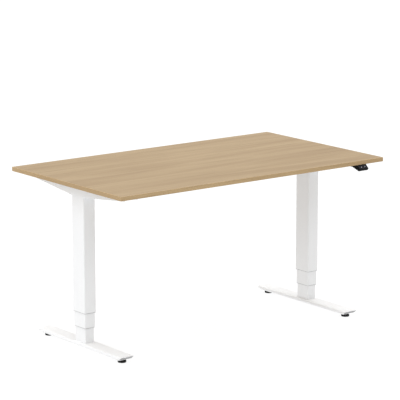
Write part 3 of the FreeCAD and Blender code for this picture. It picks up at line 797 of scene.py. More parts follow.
@dataclass(frozen=True)
class CircuitBoard:
    """Solder mask with copper tracks showing through and scattered solder pads."""

    colour: Colour
    track: Colour = (0.10, 0.34, 0.14)
    pad: Colour = (0.70, 0.68, 0.62)
    track_scale: float = 90.0
    track_width: float = 0.05
    pad_scale: float = 260.0
    relief: float = 0.04 * MM

    def dress(self, graph: Graph) -> None:
        """Tracks are the edges of a brick pattern, and pads are the middles of small cells.

        Args:
            graph: the node tree to fill.
        """
        source = graph.vector()
        bricks = graph.tree.nodes.new("ShaderNodeTexBrick")
        bricks.inputs["Scale"].default_value = self.track_scale
        bricks.inputs["Mortar Size"].default_value = self.track_width
        bricks.inputs["Color1"].default_value = rgba(self.colour)
        bricks.inputs["Color2"].default_value = rgba(self.colour, 0.85)
        bricks.inputs["Mortar"].default_value = rgba(self.track)
        graph.tree.links.new(source, bricks.inputs["Vector"])
        pads = graph.remap(graph.cells(source, self.pad_scale), 0.22, 0.17)
        graph.set(Base_Color=graph.blend(pads, bricks.outputs["Color"], rgba(self.pad)), Roughness=0.35)
        graph.bump(bricks.outputs["Fac"], self.relief)


Finish = WoodLaminate | PowderCoat | MouldedPlastic | Metal | CastAlloy | Rubber | CircuitBoard


class Slot(Enum):
    """The record's material slots, each with its finish."""

    OAK_LAMINATE = ("oak_laminate", WoodLaminate((0.349, 0.253, 0.144), contrast=1.35))
    OAK_EDGE = ("oak_edge", WoodLaminate(
        (0.465, 0.330, 0.174), grain=Grain.ALONG_BAND, contrast=1.3, roughness=0.45))
    WHITE_POWDER_COAT = ("white_powder_coat", PowderCoat((0.90, 0.905, 0.91)))
    # Mid-grey collar: partly the collar's own plastic tone, and partly painted shade. The grey is kept darker
    # than the tubes so that the lip also stands for the shadow line under each tube's lower end.
    COLLAR_PLASTIC_AND_GAP_SHADE = ("collar_plastic", MouldedPlastic((0.50, 0.50, 0.50), roughness=0.45))
    SLIDE_PAD_PLASTIC = ("slide_pad_plastic", MouldedPlastic((0.80, 0.80, 0.76), roughness=0.4))
    PLUG_PLASTIC = ("plug_plastic", MouldedPlastic((0.36, 0.36, 0.37)))
    GLIDE_RUBBER = ("glide_rubber", Rubber((0.008, 0.008, 0.008), dust=(0.03, 0.03, 0.03)))
    ZINC_STEEL = ("zinc_steel", Metal((0.70, 0.71, 0.73)))
    SPINDLE_STEEL = ("spindle_steel", Metal(
        (0.42, 0.43, 0.45), roughness=0.3, lines=(300.0, 300.0, 1600.0)))
    GEAR_BRONZE = ("gear_bronze", Metal((0.72, 0.50, 0.24), roughness=0.28))
    NUT_PLASTIC = ("nut_plastic", MouldedPlastic((0.84, 0.82, 0.74), roughness=0.4))
    GEARBOX_ALLOY = ("gearbox_alloy", CastAlloy((0.58, 0.58, 0.59)))
    MOTOR_BLACK = ("motor_black", PowderCoat((0.022, 0.022, 0.024), roughness=0.38, peel=0.03 * MM))
    CONTROL_BLACK = ("control_black", MouldedPlastic(
        (0.022, 0.022, 0.023), roughness=0.52, pit_scale=1300.0, depth=0.08 * MM))
    SOCKET_BLACK = ("socket_black", MouldedPlastic(
        (0.012, 0.012, 0.012), roughness=0.25, pit_scale=2600.0, depth=0.01 * MM))
    CIRCUIT_GREEN = ("circuit_green", CircuitBoard((0.02, 0.16, 0.07)))
    HANDSET_BLACK = ("handset_black", MouldedPlastic(
        (0.004, 0.004, 0.0045), roughness=0.55, pit_scale=1900.0, depth=0.04 * MM, specular=0.07))
    PANEL_GREY = ("panel_grey", MouldedPlastic(
        (0.018, 0.018, 0.022), roughness=0.55, pit_scale=2200.0, depth=0.03 * MM, specular=0.12))
    BUTTON_GREY = ("button_grey", Rubber(
        (0.022, 0.022, 0.027), dust=(0.04, 0.04, 0.046), roughness=0.7, specular=0.12))

    def __init__(self, slot_name: str, finish: Finish) -> None:
        """Keeps the record's name and the finish apart."""
        self.slot_name = slot_name
        self.finish = finish


@dataclass
class Wardrobe:
    """Makes each finish's material once and hands it out."""

    made: dict[str, bpy.types.Material] = field(default_factory=dict)

    def material(self, name: str, finish: Finish) -> bpy.types.Material:
        """The material of that name, made on first use.

        Args:
            name: the material's name.
            finish: what it looks like.

        Returns:
            The material.
        """
        if name not in self.made:
            graph = Graph(name)
            finish.dress(graph)
            self.made[name] = graph.material
        return self.made[name]


WARDROBE = Wardrobe()


# ---------------------------------------------------------------- pieces


@dataclass
class Piece:
    """One finished object: its name, the body it rides on, its slot and what it stands for."""

    name: str
    body: str
    slot: Slot
    replaces: tuple[str, ...] = ()
    crease: float = 40.0
    print_finish: Finish | None = None

    def make(self, shell: Shell) -> bpy.types.Object:
        """Puts a shell into an object, dresses it and joins it to its body.

        Args:
            shell: the surface, in the desk's frame.

        Returns:
            The object, at the origin, unturned and unscaled.
        """
        mesh = bpy.data.meshes.new(self.name)
        faces = shell.quads.tolist() + [cap.tolist() for cap in shell.caps]
        mesh.from_pydata(shell.points.tolist(), [], faces)
        if shell.corner_uv is not None:
            layer = mesh.uv_layers.new(name="band")
            layer.data.foreach_set("uv", shell.corner_uv.astype(np.float32).ravel())
        mesh.shade_smooth()
        mesh.set_sharp_from_angle(angle=math.radians(self.crease))
        finish = self.print_finish or self.slot.finish
        label = self.name if self.print_finish else self.slot.slot_name
        mesh.materials.append(WARDROBE.material(label, finish))
        made = bpy.data.objects.new(self.name, mesh)
        bpy.context.scene.collection.objects.link(made)
        weighted = made.modifiers.new("even shading", "WEIGHTED_NORMAL")
        weighted.keep_sharp = True
        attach(made, self.body)
        if self.replaces:
            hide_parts(*self.replaces)
        LOG.info("%s: %d points, %d faces, on %s",
                 self.name, len(shell.points), len(faces), self.body)
        return made


@dataclass(frozen=True)
class Bounds:
    """Lowest and highest corner of a node or of one solid in it."""

    low: tuple[float, float, float]
    high: tuple[float, float, float]

    @property
    def centre(self) -> np.ndarray:
        """Middle of the box."""
        return (np.array(self.low) + np.array(self.high)) / 2

    @property
    def size(self) -> np.ndarray:
        """Length along each axis."""
        return np.array(self.high) - np.array(self.low)


def node_bounds(node: str) -> Bounds:
    """The box of a CAD node at rest."""
    low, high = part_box(node)
    return Bounds(tuple(low), tuple(high))


MERGE_DISTANCE = 0.01 * MM


def solid_bounds(node: str) -> list[Bounds]:
    """The box of each separate solid in a CAD node.

    Points of the node's loose triangles are merged by place, then every triangle gives its
    smallest label to its corners until no label changes.

    Args:
        node: the node's name.

    Returns:
        One box for each solid, ordered by place.
    """
    mesh = frame["nodes"][node].data
    points = np.empty(len(mesh.vertices) * 3)
    mesh.vertices.foreach_get("co", points)
    points = points.reshape(-1, 3)
    mesh.calc_loop_triangles()
    triangles = np.empty(len(mesh.loop_triangles) * 3, dtype=np.int64)
    mesh.loop_triangles.foreach_get("vertices", triangles)
    places = np.round(points / MERGE_DISTANCE).astype(np.int64)
    merged = np.unique(places, axis=0, return_inverse=True)[1].ravel()
    corners = merged[triangles].reshape(-1, 3)
    labels = np.arange(merged.max() + 1)
    while True:
        smallest = labels[corners].min(axis=1)
        spread = labels.copy()
        np.minimum.at(spread, corners.ravel(), np.repeat(smallest, 3))
        if np.array_equal(spread, labels):
            break
        labels = spread
    owner = labels[merged]
    boxes = [Bounds(tuple(points[owner == k].min(axis=0)), tuple(points[owner == k].max(axis=0)))
             for k in np.unique(owner)]
    return sorted(boxes, key=lambda box: tuple(np.round(box.centre, 4)))


def dress_node(node: str, slot: Slot) -> None:
    """Gives a carried-over CAD node its procedural finish.

    Args:
        node: the node's name.
        slot: the slot whose finish it gets.
    """
    made = frame["nodes"][node]
    finish = WARDROBE.material(slot.slot_name, slot.finish)
    if not made.material_slots:
        made.data.materials.append(finish)
    for holder in made.material_slots:
        holder.material = finish
    LOG.info("%s: carried over, %s", node, slot.slot_name)


# ---------------------------------------------------------------- the top


@dataclass
class Tabletop:
    """Laminated board with a radiused edge band all round."""

    seam_bevel: float = 0.12 * MM
    edge_radius: float = 1.2 * MM
    corner_radius: float = 4.0 * MM
    band: float = 2.0 * MM

    def build(self) -> None:
        """Board and band."""
        self.build_board()
        self.build_band()

    def build_board(self) -> None:
        """A flat board with a hairline bevel where it meets the band."""
        box = node_bounds("tabletop_board")
        outline = rounded_rectangle(box.size[0], box.size[1], self.corner_radius - self.band, 6)
        profile = block_profile(box.low[2], box.high[2], self.seam_bevel, self.seam_bevel, 3)
        board = Piece("tabletop_board_laminate", "top", Slot.OAK_LAMINATE, ("tabletop_board",))
        board.make(loft(outline, profile, UPRIGHT))

    def build_band(self) -> None:
        """A closed band whose UV map runs along the edge and then across it, in metres."""
        board = node_bounds("tabletop_board")
        size = board.size + 2 * self.band
        outline = rounded_rectangle(size[0], size[1], self.corner_radius, 8)
        low = board.low[2]
        high = board.high[2]
        outside = block_profile(low, high, self.edge_radius, self.edge_radius, 6)
        inside = np.array([[self.band - self.seam_bevel, high], [self.band, high - self.seam_bevel],
                           [self.band, low + self.seam_bevel], [self.band - self.seam_bevel, low]])
        profile = np.concatenate([outside, inside])
        shell = loft(outline, profile, UPRIGHT, looped=True)
        shell.corner_uv = self.band_uv(outline, profile, shell.quads)
        Piece("edge_band_strip", "top", Slot.OAK_EDGE, ("edge_band",)).make(shell)

    def band_uv(self, outline: np.ndarray, profile: np.ndarray, quads: np.ndarray) -> np.ndarray:
        """Corner coordinates: length along the outline, then length along the profile.

        Args:
            outline: the edge's outline.
            profile: the band's cross-section.
            quads: the shell's faces, whose indices are ring times outline size plus place.

        Returns:
            Faces by 4 by 2.
        """
        along = walked(outline)
        across = walked(profile)
        place = quads % len(outline)
        ring = quads // len(outline)
        last_place = (place.max(axis=1) == len(outline) - 1) & (place.min(axis=1) == 0)
        last_ring = (ring.max(axis=1) == len(profile) - 1) & (ring.min(axis=1) == 0)
        place = np.where(last_place[:, None] & (place == 0), len(outline), place)
        ring = np.where(last_ring[:, None] & (ring == 0), len(profile), ring)
        return np.stack([along[place], across[ring]], axis=-1)


# ---------------------------------------------------------------- columns


class Stage(Enum):
    """A tube of a column: its name, the body it rides on and its corner radius."""

    OUTER = ("outer", "top", 5.0 * MM)
    MIDDLE = ("middle", "middle_stage", 4.0 * MM)
    INNER = ("inner", "base", 3.0 * MM)

    def __init__(self, label: str, body: str, corner: float) -> None:
        """Keeps the three apart.

        Args:
            label: the stage's word in the nodes' names.
            body: the body that it rides on.
            corner: the tube's outer corner radius.
        """
        self.label = label
        self.body = body
        self.corner = corner


@dataclass
class Column:
    """Three nested tubes with plastic collars, on one side of the desk."""

    side: str
    wall: float = 1.5 * MM
    lip_radius: float = 0.4 * MM
    base_plate: float = 8.0 * MM
    fit: float = 0.02 * MM
    collar_lip: float = 2.0 * MM
    collar_round: float = 0.9 * MM
    collar_sleeve: float = 1.9 * MM

    def build(self) -> None:
        """Tubes from the widest to the narrowest, then the collars."""
        for stage in Stage:
            self.build_tube(stage)
        for stage in (Stage.OUTER, Stage.MIDDLE):
            self.build_collar(stage)

    def outline(self, stage: Stage, box: Bounds) -> np.ndarray:
        """The stage's rounded rectangle."""
        return rounded_rectangle(box.size[0], box.size[1], stage.corner, 9)

    def build_tube(self, stage: Stage) -> None:
        """The wall's rounded section carried round the outline, with a plate inside the lowest.

        Args:
            stage: which of the three tubes.
        """
        node = f"{self.side}_{stage.label}_tube"
        box = node_bounds(node)
        low = box.low[2]
        outline = self.outline(stage, box)
        place = UPRIGHT.at(box.centre[0], box.centre[1], 0.0)
        wall = wall_profile(low, box.high[2], self.wall, self.lip_radius)
        shells = [loft(outline, wall, place, looped=True)]
        if stage is Stage.INNER:
            inside = inset(outline, np.array([self.wall + self.fit]))[0]
            plate = block_profile(low, low + self.base_plate, 0.2 * MM, 0.5 * MM, 3)
            shells.append(loft(inside, plate, place))
        Piece(f"{node}_coated", stage.body, Slot.WHITE_POWDER_COAT, (node,)).make(joined(shells))

    def build_collar(self, stage: Stage) -> None:
        """A moulded ring: a rounded lip under the tube's wall and a sleeve inside it.

        Args:
            stage: the tube that the collar sits in.
        """
        node = f"{self.side}_{stage.label}_collar"
        box = node_bounds(node)
        low = box.low[2]
        high = box.high[2]
        seat = self.wall + self.fit
        bore = self.wall + self.collar_sleeve
        lip = arc(self.collar_round, 270, 180, 4, (self.collar_round, low + self.collar_round))
        sleeve = np.array([[0.0, low + self.collar_lip - 0.1 * MM], [seat, low + self.collar_lip],
                           [seat, high - 0.5 * MM], [self.wall + 0.5 * MM, high],
                           [bore - 0.3 * MM, high], [bore, high - 1.0 * MM],
                           [bore, low + 1.0 * MM], [bore - 0.5 * MM, low]])
        place = UPRIGHT.at(box.centre[0], box.centre[1], 0.0)
        shell = loft(self.outline(stage, box), np.concatenate([lip, sleeve]), place, looped=True)
        # The grey lip is partly the collar's own plastic and partly painted shade for the gap under the tube
        # above.
        Piece(f"{node}_moulded", stage.body, Slot.COLLAR_PLASTIC_AND_GAP_SHADE, (node,)).make(shell)


@dataclass
class Foot:
    """Flattened steel tube with slanted ends, plugs and levelling glides, on one side."""

    side: str
    wall: float = 2.5 * MM
    edge_radius: float = 7.0 * MM
    undercut: float = 16.0 * MM
    tip: float = 2.5 * MM
    lip_radius: float = 0.5 * MM
    mouth: float = 14.0 * MM
    plug_recess: float = 1.0 * MM
    plug_fit: float = 0.03 * MM
    plug_round: float = 0.6 * MM
    plug_depth: float = 9.0 * MM

    def build(self) -> None:
        """Bar, then both glides."""
        self.build_bar()
        for end in ("front", "rear"):
            Glide(f"{end}_{self.side}", f"{self.side}_foot_bar").build()

    def bar_box(self) -> Bounds:
        """The box of the bar's node."""
        return node_bounds(f"{self.side}_foot_bar")

    def outline(self, box: Bounds) -> np.ndarray:
        """The bar's cross-section."""
        return rounded_rectangle(box.size[0], box.size[2], self.edge_radius, 12)

    def slanted(self, box: Bounds, flat: np.ndarray, set_back: np.ndarray,
                side: np.ndarray | int) -> np.ndarray:
        """Rings of the cross-section, slanted as the bar's ends are.

        At each height the bar reaches out to its tip, less the undercut's slope below it.

        Args:
            box: the bar's box.
            flat: rings by points by 2, across the bar and up.
            set_back: how far each ring lies behind the bar's end.
            side: -1 for the front end and 1 for the rear end, for all rings or for each.

        Returns:
            Rings by points by 3.
        """
        height = flat[..., 1] + box.centre[2]
        slope = self.undercut / (box.size[2] - self.tip)
        below = np.maximum(box.high[2] - self.tip - height, 0.0)
        reach = (box.size[1] / 2 - set_back[:, None] - slope * below) * side
        return np.stack([flat[..., 0] + box.centre[0], reach, height], axis=-1)

    def build_bar(self) -> None:
        """The bar as one closed surface.

        From the middle of each end's mouth the profile runs inside the wall, round the lip, and
        along the outside to the other end.
        """
        box = self.bar_box()
        lip = arc(self.lip_radius, 90, 180, 4, (self.lip_radius, self.lip_radius))
        inner_lip = arc(self.lip_radius, 0, 90, 4, (self.wall - self.lip_radius, self.lip_radius))
        half = np.concatenate([[[self.wall, self.mouth]], inner_lip, lip])
        depths, set_backs = np.concatenate([half, half[::-1]]).T
        sides = np.repeat([-1.0, 1.0], len(half))[:, None]
        rings = self.slanted(box, inset(self.outline(box), depths), set_backs, sides)
        node = f"{self.side}_foot_bar"
        Piece(f"{node}_coated", "base", Slot.WHITE_POWDER_COAT, (node,)).make(skin(rings))

    def plugs(self) -> list[Shell]:
        """Both end plugs: the inside outline with a rounded outer rim.

        Returns:
            The front plug, then the rear plug.
        """
        box = self.bar_box()
        outline = inset(self.outline(box), np.array([self.wall + self.plug_fit]))[0]
        rim = arc(self.plug_round, 180, 90, 4, (self.plug_round, self.plug_round))
        rim = np.stack([rim[:, 0], 2 * self.plug_round - rim[:, 1]], axis=-1)
        rim = np.concatenate([[[0.0, self.plug_depth]], rim])
        flat = inset(outline, rim[:, 0])
        return [skin(self.slanted(box, flat, self.plug_recess + rim[:, 1], side)) for side in (-1, 1)]


@dataclass
class Glide:
    """Levelling glide under a foot: a pad with a grip-ribbed rim, and its threaded stud."""

    corner: str
    bar: str
    floor_inset: float = 3.0 * MM
    floor_round: float = 1.2 * MM
    shoulder: float = 2.4 * MM
    rim_width: float = 6.0 * MM
    dish_depth: float = 0.6 * MM
    hub_radius: float = 8.4 * MM
    stud_hole: float = 4.02 * MM
    rib_count: int = 32
    rib_depth: float = 0.25 * MM
    pitch: float = 1.25 * MM
    thread_root: float = 3.4 * MM
    thread_crest: float = 3.95 * MM
    foot_gap: float = 1.0 * MM

    def build(self) -> None:
        """Pad and stud."""
        self.build_pad()
        self.build_stud()

    def build_pad(self) -> None:
        """A turned pad with a dished top, whose rim ripples with the cosine of the angle."""
        node = f"{self.corner}_glide_pad"
        box = node_bounds(node)
        radius = box.size[0] / 2
        top = box.high[2]
        dish = top - self.dish_depth
        dish_edge = radius - self.rim_width
        bottom = arc(self.floor_round, 270, 360, 4, (radius - self.floor_round, self.floor_round))
        shoulder = arc(self.shoulder, 0, 90, 6, (radius - self.shoulder, top - self.shoulder))
        inner = np.array([[dish_edge, top], [dish_edge - 1.0 * MM, dish],
                          [self.hub_radius + self.dish_depth, dish], [self.hub_radius, top],
                          [self.stud_hole, top], [self.stud_hole, top / 2]])
        profile = np.concatenate([[[radius - self.floor_inset, 0.0]], bottom, shoulder, inner])
        angle = angles_round(3 * self.rib_count)
        ribs = self.rib_depth * (0.5 - 0.5 * np.cos(angle * self.rib_count))
        on_rim = (profile[:, 1] > 1.5 * MM) & (profile[:, 0] > radius - 1.4 * MM)
        reach = profile[:, 0, None] - on_rim[:, None] * ribs[None]
        flat = reach[..., None] * np.stack([np.cos(angle), np.sin(angle)], axis=-1)
        place = UPRIGHT.at(box.centre[0], box.centre[1], 0.0)
        pad = Piece(f"{node}_moulded", f"{self.corner}_glide", Slot.GLIDE_RUBBER, (node,))
        pad.make(skin(place.put(raised(flat, profile[:, 1]))))

    def build_stud(self) -> None:
        """A threaded stud, whose radius ripples by the pitch, with a chamfered hexagon."""
        node = f"{self.corner}_glide_stud"
        box = node_bounds(node)
        pad = node_bounds(f"{self.corner}_glide_pad")
        place = UPRIGHT.at(pad.centre[0], pad.centre[1], 0.0)
        heights = np.arange(box.low[2] + 0.3 * MM, box.high[2] - 0.6 * MM, self.pitch / 2)
        radii = np.where(np.arange(len(heights)) % 2 == 0, self.thread_root, self.thread_crest)
        stud = turned(np.concatenate([[[3.2 * MM, box.low[2]]], np.stack([radii, heights], axis=-1),
                                      [[2.9 * MM, box.high[2]]]]), place, 32)
        low = pad.high[2]
        high = node_bounds(self.bar).low[2] - self.foot_gap
        angle = angles_round(48)
        flats = Recess.HEXAGON.radius(angle, box.size[0] / 2)
        ends = np.minimum(flats, box.size[0] / 2 * 0.93) - 0.25 * MM
        nut = np.stack([polar(ends, angle, low + 0.02 * MM), polar(flats, angle, low + 0.5 * MM),
                        polar(flats, angle, high - 0.5 * MM), polar(ends, angle, high)])
        piece = Piece(f"{node}_threaded", f"{self.corner}_glide", Slot.ZINC_STEEL, (node,), crease=30.0)
        piece.make(joined([stud, skin(place.put(nut))]))


@dataclass
class EndPlugs:
    """The four plugs of both feet as one piece, as they are one node in the frame."""

    sides: tuple[str, ...] = ("left", "right")

    def build(self) -> None:
        """Both feet's plugs, joined."""
        shells = [shell for side in self.sides for shell in Foot(side).plugs()]
        plugs = Piece("foot_end_plugs_moulded", "base", Slot.PLUG_PLASTIC, ("foot_end_plugs",))
        plugs.make(joined(shells))


# ---------------------------------------------------------------- frame under the top


@dataclass
class SideBracket:
    """Bent steel channel under one end of the top, deepest at the column."""

    side: str
    plate: float = 2.5 * MM
    web: float = 3.0 * MM
    bend: float = 4.0 * MM
    flat_half: float = 38.0 * MM
    end_depth: float = 18.0 * MM
    edge_radius: float = 0.5 * MM
    stations: int = 24

    def build(self) -> None:
        """The channel's U section, hanging as deep as the taper asks at each station."""
        node = f"{self.side}_side_bracket"
        box = node_bounds(node)
        half = box.size[1] / 2
        run = np.concatenate([np.linspace(-half, -self.flat_half, self.stations),
                              np.linspace(self.flat_half, half, self.stations)])
        share = np.clip((np.abs(run) - self.flat_half) / (half - self.flat_half), 0, 1)
        depth = box.size[2] + (self.end_depth - box.size[2]) * share
        bracket = Piece(f"{node}_folded", "top", Slot.WHITE_POWDER_COAT, (node,))
        bracket.make(skin(self.rings(self.section(box.size[0] / 2), run, depth, box)))

    def section(self, half: float) -> np.ndarray:
        """The U section as an outline.

        Args:
            half: half the channel's width.

        Returns:
            Points by 3: x, z, and 1 where z is measured from the flange's lower edge and not
            from the board.
        """
        radius = self.edge_radius
        inner_bend = self.bend - self.plate
        parts = (
            (arc(inner_bend, 90, 0, 5, (half - self.bend, -self.web - inner_bend)), 0.0),
            (arc(radius, 180, 270, 3, (half - self.plate + radius, radius)), 1.0),
            (arc(radius, 270, 360, 3, (half - radius, radius)), 1.0),
            (arc(self.bend, 0, 90, 6, (half - self.bend, -self.bend)), 0.0),
        )
        right = np.concatenate([np.c_[points, np.full(len(points), hangs)] for points, hangs in parts])
        left = right[::-1] * np.array([-1.0, 1.0, 1.0])
        return np.concatenate([right, left])

    def rings(self, section: np.ndarray, run: np.ndarray, depth: np.ndarray, box: Bounds) -> np.ndarray:
        """Every station's copy of the section: hanging points drop by the depth at that station.

        Args:
            section: the U section.
            run: each station's place along the channel, from its middle.
            depth: how deep the flanges hang at each station.
            box: the bracket's box.

        Returns:
            Stations by points by 3.
        """
        x = np.broadcast_to(section[:, 0] + box.centre[0], (len(run), len(section)))
        y = np.broadcast_to((run + box.centre[1])[:, None], x.shape)
        z = box.high[2] + section[None, :, 1] - section[None, :, 2] * depth[:, None]
        return np.stack([x, y, z], axis=-1)


@dataclass
class Crossbeam:
    """Rectangular tube between the side brackets, with welded end plates."""

    place: str
    width: float = 25.0 * MM
    corner: float = 3.0 * MM
    plate: float = 4.0 * MM
    plate_corner: float = 2.0 * MM
    bead: float = 2.2 * MM
    bead_root: float = 0.3 * MM

    def build(self) -> None:
        """Tube, both plates and a weld bead where each plate meets the tube."""
        node = f"{self.place}_crossbeam"
        box = node_bounds(node)
        height = box.size[2]
        centre = ALONG_X.at(0.0, box.centre[1], box.centre[2])
        half = box.size[0] / 2
        inner = half - self.plate
        shells = [loft(rounded_rectangle(self.width, height, self.corner, 7),
                       block_profile(-inner, inner, 0.05 * MM, 0.05 * MM, 2), centre)]
        for sign in (-1, 1):
            low, high = sorted((sign * half, sign * inner))
            outline = rounded_rectangle(box.size[1], height, self.plate_corner, 5)
            shells.append(loft(outline, block_profile(low, high, 0.4 * MM, 0.4 * MM, 3), centre))
            shells.append(self.weld(sign * inner, -sign, height, centre))
        Piece(f"{node}_welded", "top", Slot.WHITE_POWDER_COAT, (node,)).make(joined(shells))

    def weld(self, place: float, direction: int, height: float, centre: Placement) -> Shell:
        """A bead round the tube: a bulging section carried round the outline.

        Args:
            place: where the plate's inner face is, along the beam.
            direction: which way the tube runs from there.
            height: the beam's height, past which the bead is flattened.
            centre: the beam's placement.

        Returns:
            The bead's closed shell.
        """
        outline = rounded_rectangle(self.width, height - 0.2 * MM, self.corner, 24)
        section = np.array([[self.bead_root, 0.0], [-self.bead, 0.0], [-0.75 * self.bead, 0.55 * self.bead],
                            [-0.2 * self.bead, 0.9 * self.bead], [self.bead_root, self.bead]])
        flat = inset(outline, section[:, 0])
        limit = height / 2 - 0.05 * MM
        flat[..., 1] = np.clip(flat[..., 1], -limit, limit)
        return skin(centre.put(raised(flat, place + direction * section[:, 1])), looped=True)


@dataclass
class Motor:
    """Geared motor can under the top, lying across the desk from a column's gearbox."""

    side: str
    can_radius: float = 24.0 * MM
    boss_radius: float = 15.0 * MM
    neck_radius: float = 9.0 * MM
    boss: float = 6.0 * MM
    tail: float = 5.0 * MM
    gearbox_gap: float = 3.1 * MM
    seam_from_boss: float = 6.0 * MM
    seam_from_tail: float = 12.4 * MM
    screw_circle: float = 19.0 * MM
    screw_turns: tuple[float, ...] = (90.0, 210.0, 330.0)

    def build(self) -> None:
        """The turned can, and three screws sunk in its tail cover."""
        node = f"{self.side}_motor"
        box = node_bounds(node)
        tube = node_bounds(f"{self.side}_outer_tube")
        inward = 1 if self.side == "left" else -1
        neck_end, tail_end = (box.low[0], box.high[0])[::inward]
        face = tube.centre[0] + inward * (tube.size[0] / 2 + self.gearbox_gap)
        place = ALONG_X.at(0.0, box.centre[1], box.centre[2])
        steps = self.profile(inward * (neck_end - face), inward * (tail_end - face))
        can = turned(np.stack([steps[:, 0], face + inward * steps[:, 1]], axis=-1), place, 64)
        Piece(f"{node}_can", "top", Slot.MOTOR_BLACK, (node,), crease=50.0).make(can)
        screw = np.array([[2.6, 0.0], [2.6, -1.0 * inward], [1.8, -1.5 * inward]]) * MM
        cover = tail_end - inward * self.tail
        screws = [turned(screw, place.around(cover, self.screw_circle, turn), 20)
                  for turn in self.screw_turns]
        Piece(f"{node}_screws", "top", Slot.ZINC_STEEL).make(joined(screws))

    def profile(self, neck: float, length: float) -> np.ndarray:
        """Radius, and distance from the gearbox's face, along neck, boss, can and tail.

        Args:
            neck: where the neck ends, below zero because it is inside the gearbox.
            length: where the tail cover ends.

        Returns:
            Points by 2.
        """
        can = self.can_radius
        boss = self.boss_radius
        cover = length - self.tail
        seam = np.array([[0.0, 0.0], [-0.6, 0.6], [-0.6, 1.8], [0.0, 2.4]]) * MM
        front = np.array([[self.neck_radius - 0.5 * MM, neck], [self.neck_radius, neck + 0.5 * MM],
                          [self.neck_radius, 0.0], [boss - 0.5 * MM, 0.0], [boss, 0.5 * MM],
                          [boss, self.boss], [can - 1.5 * MM, self.boss],
                          [can - 0.4 * MM, self.boss + 0.4 * MM], [can, self.boss + 1.5 * MM]])
        back = np.array([[can, cover - 1.5 * MM], [can - 0.4 * MM, cover - 0.4 * MM],
                         [can - 1.5 * MM, cover], [boss, cover],
                         [boss, length - 0.8 * MM], [boss - 0.8 * MM, length]])
        near = seam + np.array([can, self.boss + self.seam_from_boss])
        far = seam + np.array([can, cover - self.seam_from_tail])
        return np.concatenate([front, near, far, back])


@dataclass
class FastenerGroup:
    """All screws or bolts of one CAD node, each with a domed head and a driver recess."""

    node: str
    body: str
    recess: Recess
    head: float
    shank_radius: float
    head_side: tuple[float, float, float]
    recess_share: float = 0.55
    dome_start: float = 0.35
    dome_turn: float = 70.0
    pitch: float = 0.8 * MM

    def build(self) -> None:
        """One turned screw for each solid of the node, joined as one piece."""
        screws = joined([self.screw(box) for box in solid_bounds(self.node)])
        Piece(f"{self.node}_turned", self.body, Slot.ZINC_STEEL, (self.node,), crease=35.0).make(screws)

    def screw(self, box: Bounds) -> Shell:
        """One screw: rings from the recess's floor over the dome to the shank's tip.

        The head is a part of a circle from its edge to the dome's turn, and the shank's radius
        goes in and out along the thread.  A head that faces left is turned to face right on the
        right half of the desk.

        Args:
            box: the CAD screw's box.

        Returns:
            The closed shell.
        """
        toward = np.array(self.head_side)
        if toward[0] != 0:
            toward = toward * math.copysign(1.0, -box.centre[0])
        axis = int(np.argmax(np.abs(toward)))
        radius = box.size[(axis + 1) % 3] / 2
        length = box.size[axis]
        tip = box.centre - toward * length / 2
        across = np.roll(toward, 1)
        place = Placement(tuple(tip), tuple(across), tuple(np.cross(toward, across)), tuple(toward))
        angle = angles_round(48)
        drive = self.recess.radius(angle, radius * self.recess_share)
        under = length - self.head
        rise = 1.0 - self.dome_start
        steps = [(0.7 * drive, length - 0.62 * self.head), (drive, length - 0.1 * self.head)]
        steps += [(radius * (self.dome_start + rise * x), under + self.head * (self.dome_start + rise * y))
                  for x, y in arc(1.0, self.dome_turn, 0, 5)]
        steps += [(radius, under + 0.12 * self.head), (radius - 0.2 * MM, under), (self.shank_radius, under)]
        threads = np.arange(under - 0.6 * MM, 1.2 * MM, -self.pitch)
        steps += [(self.shank_radius * (0.86 if k % 2 else 0.99), z) for k, z in enumerate(threads)]
        steps.append((0.5 * self.shank_radius, 0.0))
        return skin(place.put(np.stack([polar(reach, angle, height) for reach, height in steps])))


# ---------------------------------------------------------------- control box and handset


@dataclass
class ControlBox:
    """Black plastic box under the top: the frame's base and cover, cooling ribs and sockets."""

    socket_wall: float = 2.0 * MM
    inlet_from: float = 20.0 * MM
    pin_margin: float = 9.0 * MM
    pin_length: float = 7.0 * MM
    rib_proud: float = 1.0 * MM
    rib_width: float = 3.0 * MM
    rib_margin: float = 30.0 * MM
    rib_span: float = 120.0 * MM
    rib_count: int = 13

    def build(self) -> None:
        """Dresses the carried-over nodes, then adds the pins and the ribs."""
        dress_node("control_box_base", Slot.CONTROL_BLACK)
        dress_node("control_box_cover", Slot.CONTROL_BLACK)
        dress_node("control_sockets", Slot.SOCKET_BLACK)
        dress_node("control_circuit_board", Slot.CIRCUIT_GREEN)
        self.build_pins()
        self.build_ribs()

    def build_pins(self) -> None:
        """Contact pins in each socket: two in the wide mains inlet and four in the others."""
        pins = []
        for box in solid_bounds("control_sockets"):
            count, radius = (2, 1.1 * MM) if box.size[1] > self.inlet_from else (4, 0.5 * MM)
            spread = (box.size[1] - self.pin_margin) / 2
            floor = box.high[0] - self.socket_wall
            profile = np.array([[radius, 0.2 * MM], [radius, -self.pin_length],
                                [radius * 0.5, -self.pin_length - 0.8 * MM]])
            pins += [turned(profile, ALONG_X.at(floor, box.centre[1] + y, box.centre[2]), 16)
                     for y in np.linspace(-spread, spread, count)]
        Piece("socket_pins", "top", Slot.ZINC_STEEL).make(joined(pins))

    def build_ribs(self) -> None:
        """Cooling ribs across the underside of the cover, each a low rounded bar."""
        box = node_bounds("control_box_cover")
        places = np.linspace(-self.rib_span / 2, self.rib_span / 2, self.rib_count)
        outline = rounded_rectangle(self.rib_width, box.size[1] - self.rib_margin, 1.4 * MM, 5)
        profile = block_profile(box.low[2] - self.rib_proud, box.low[2] + 0.5 * MM, 0.5 * MM, 0.05 * MM, 3)
        ribs = [loft(outline, profile, UPRIGHT.at(x, box.centre[1], 0.0)) for x in places]
        Piece("control_box_ribs", "top", Slot.CONTROL_BLACK).make(joined(ribs))


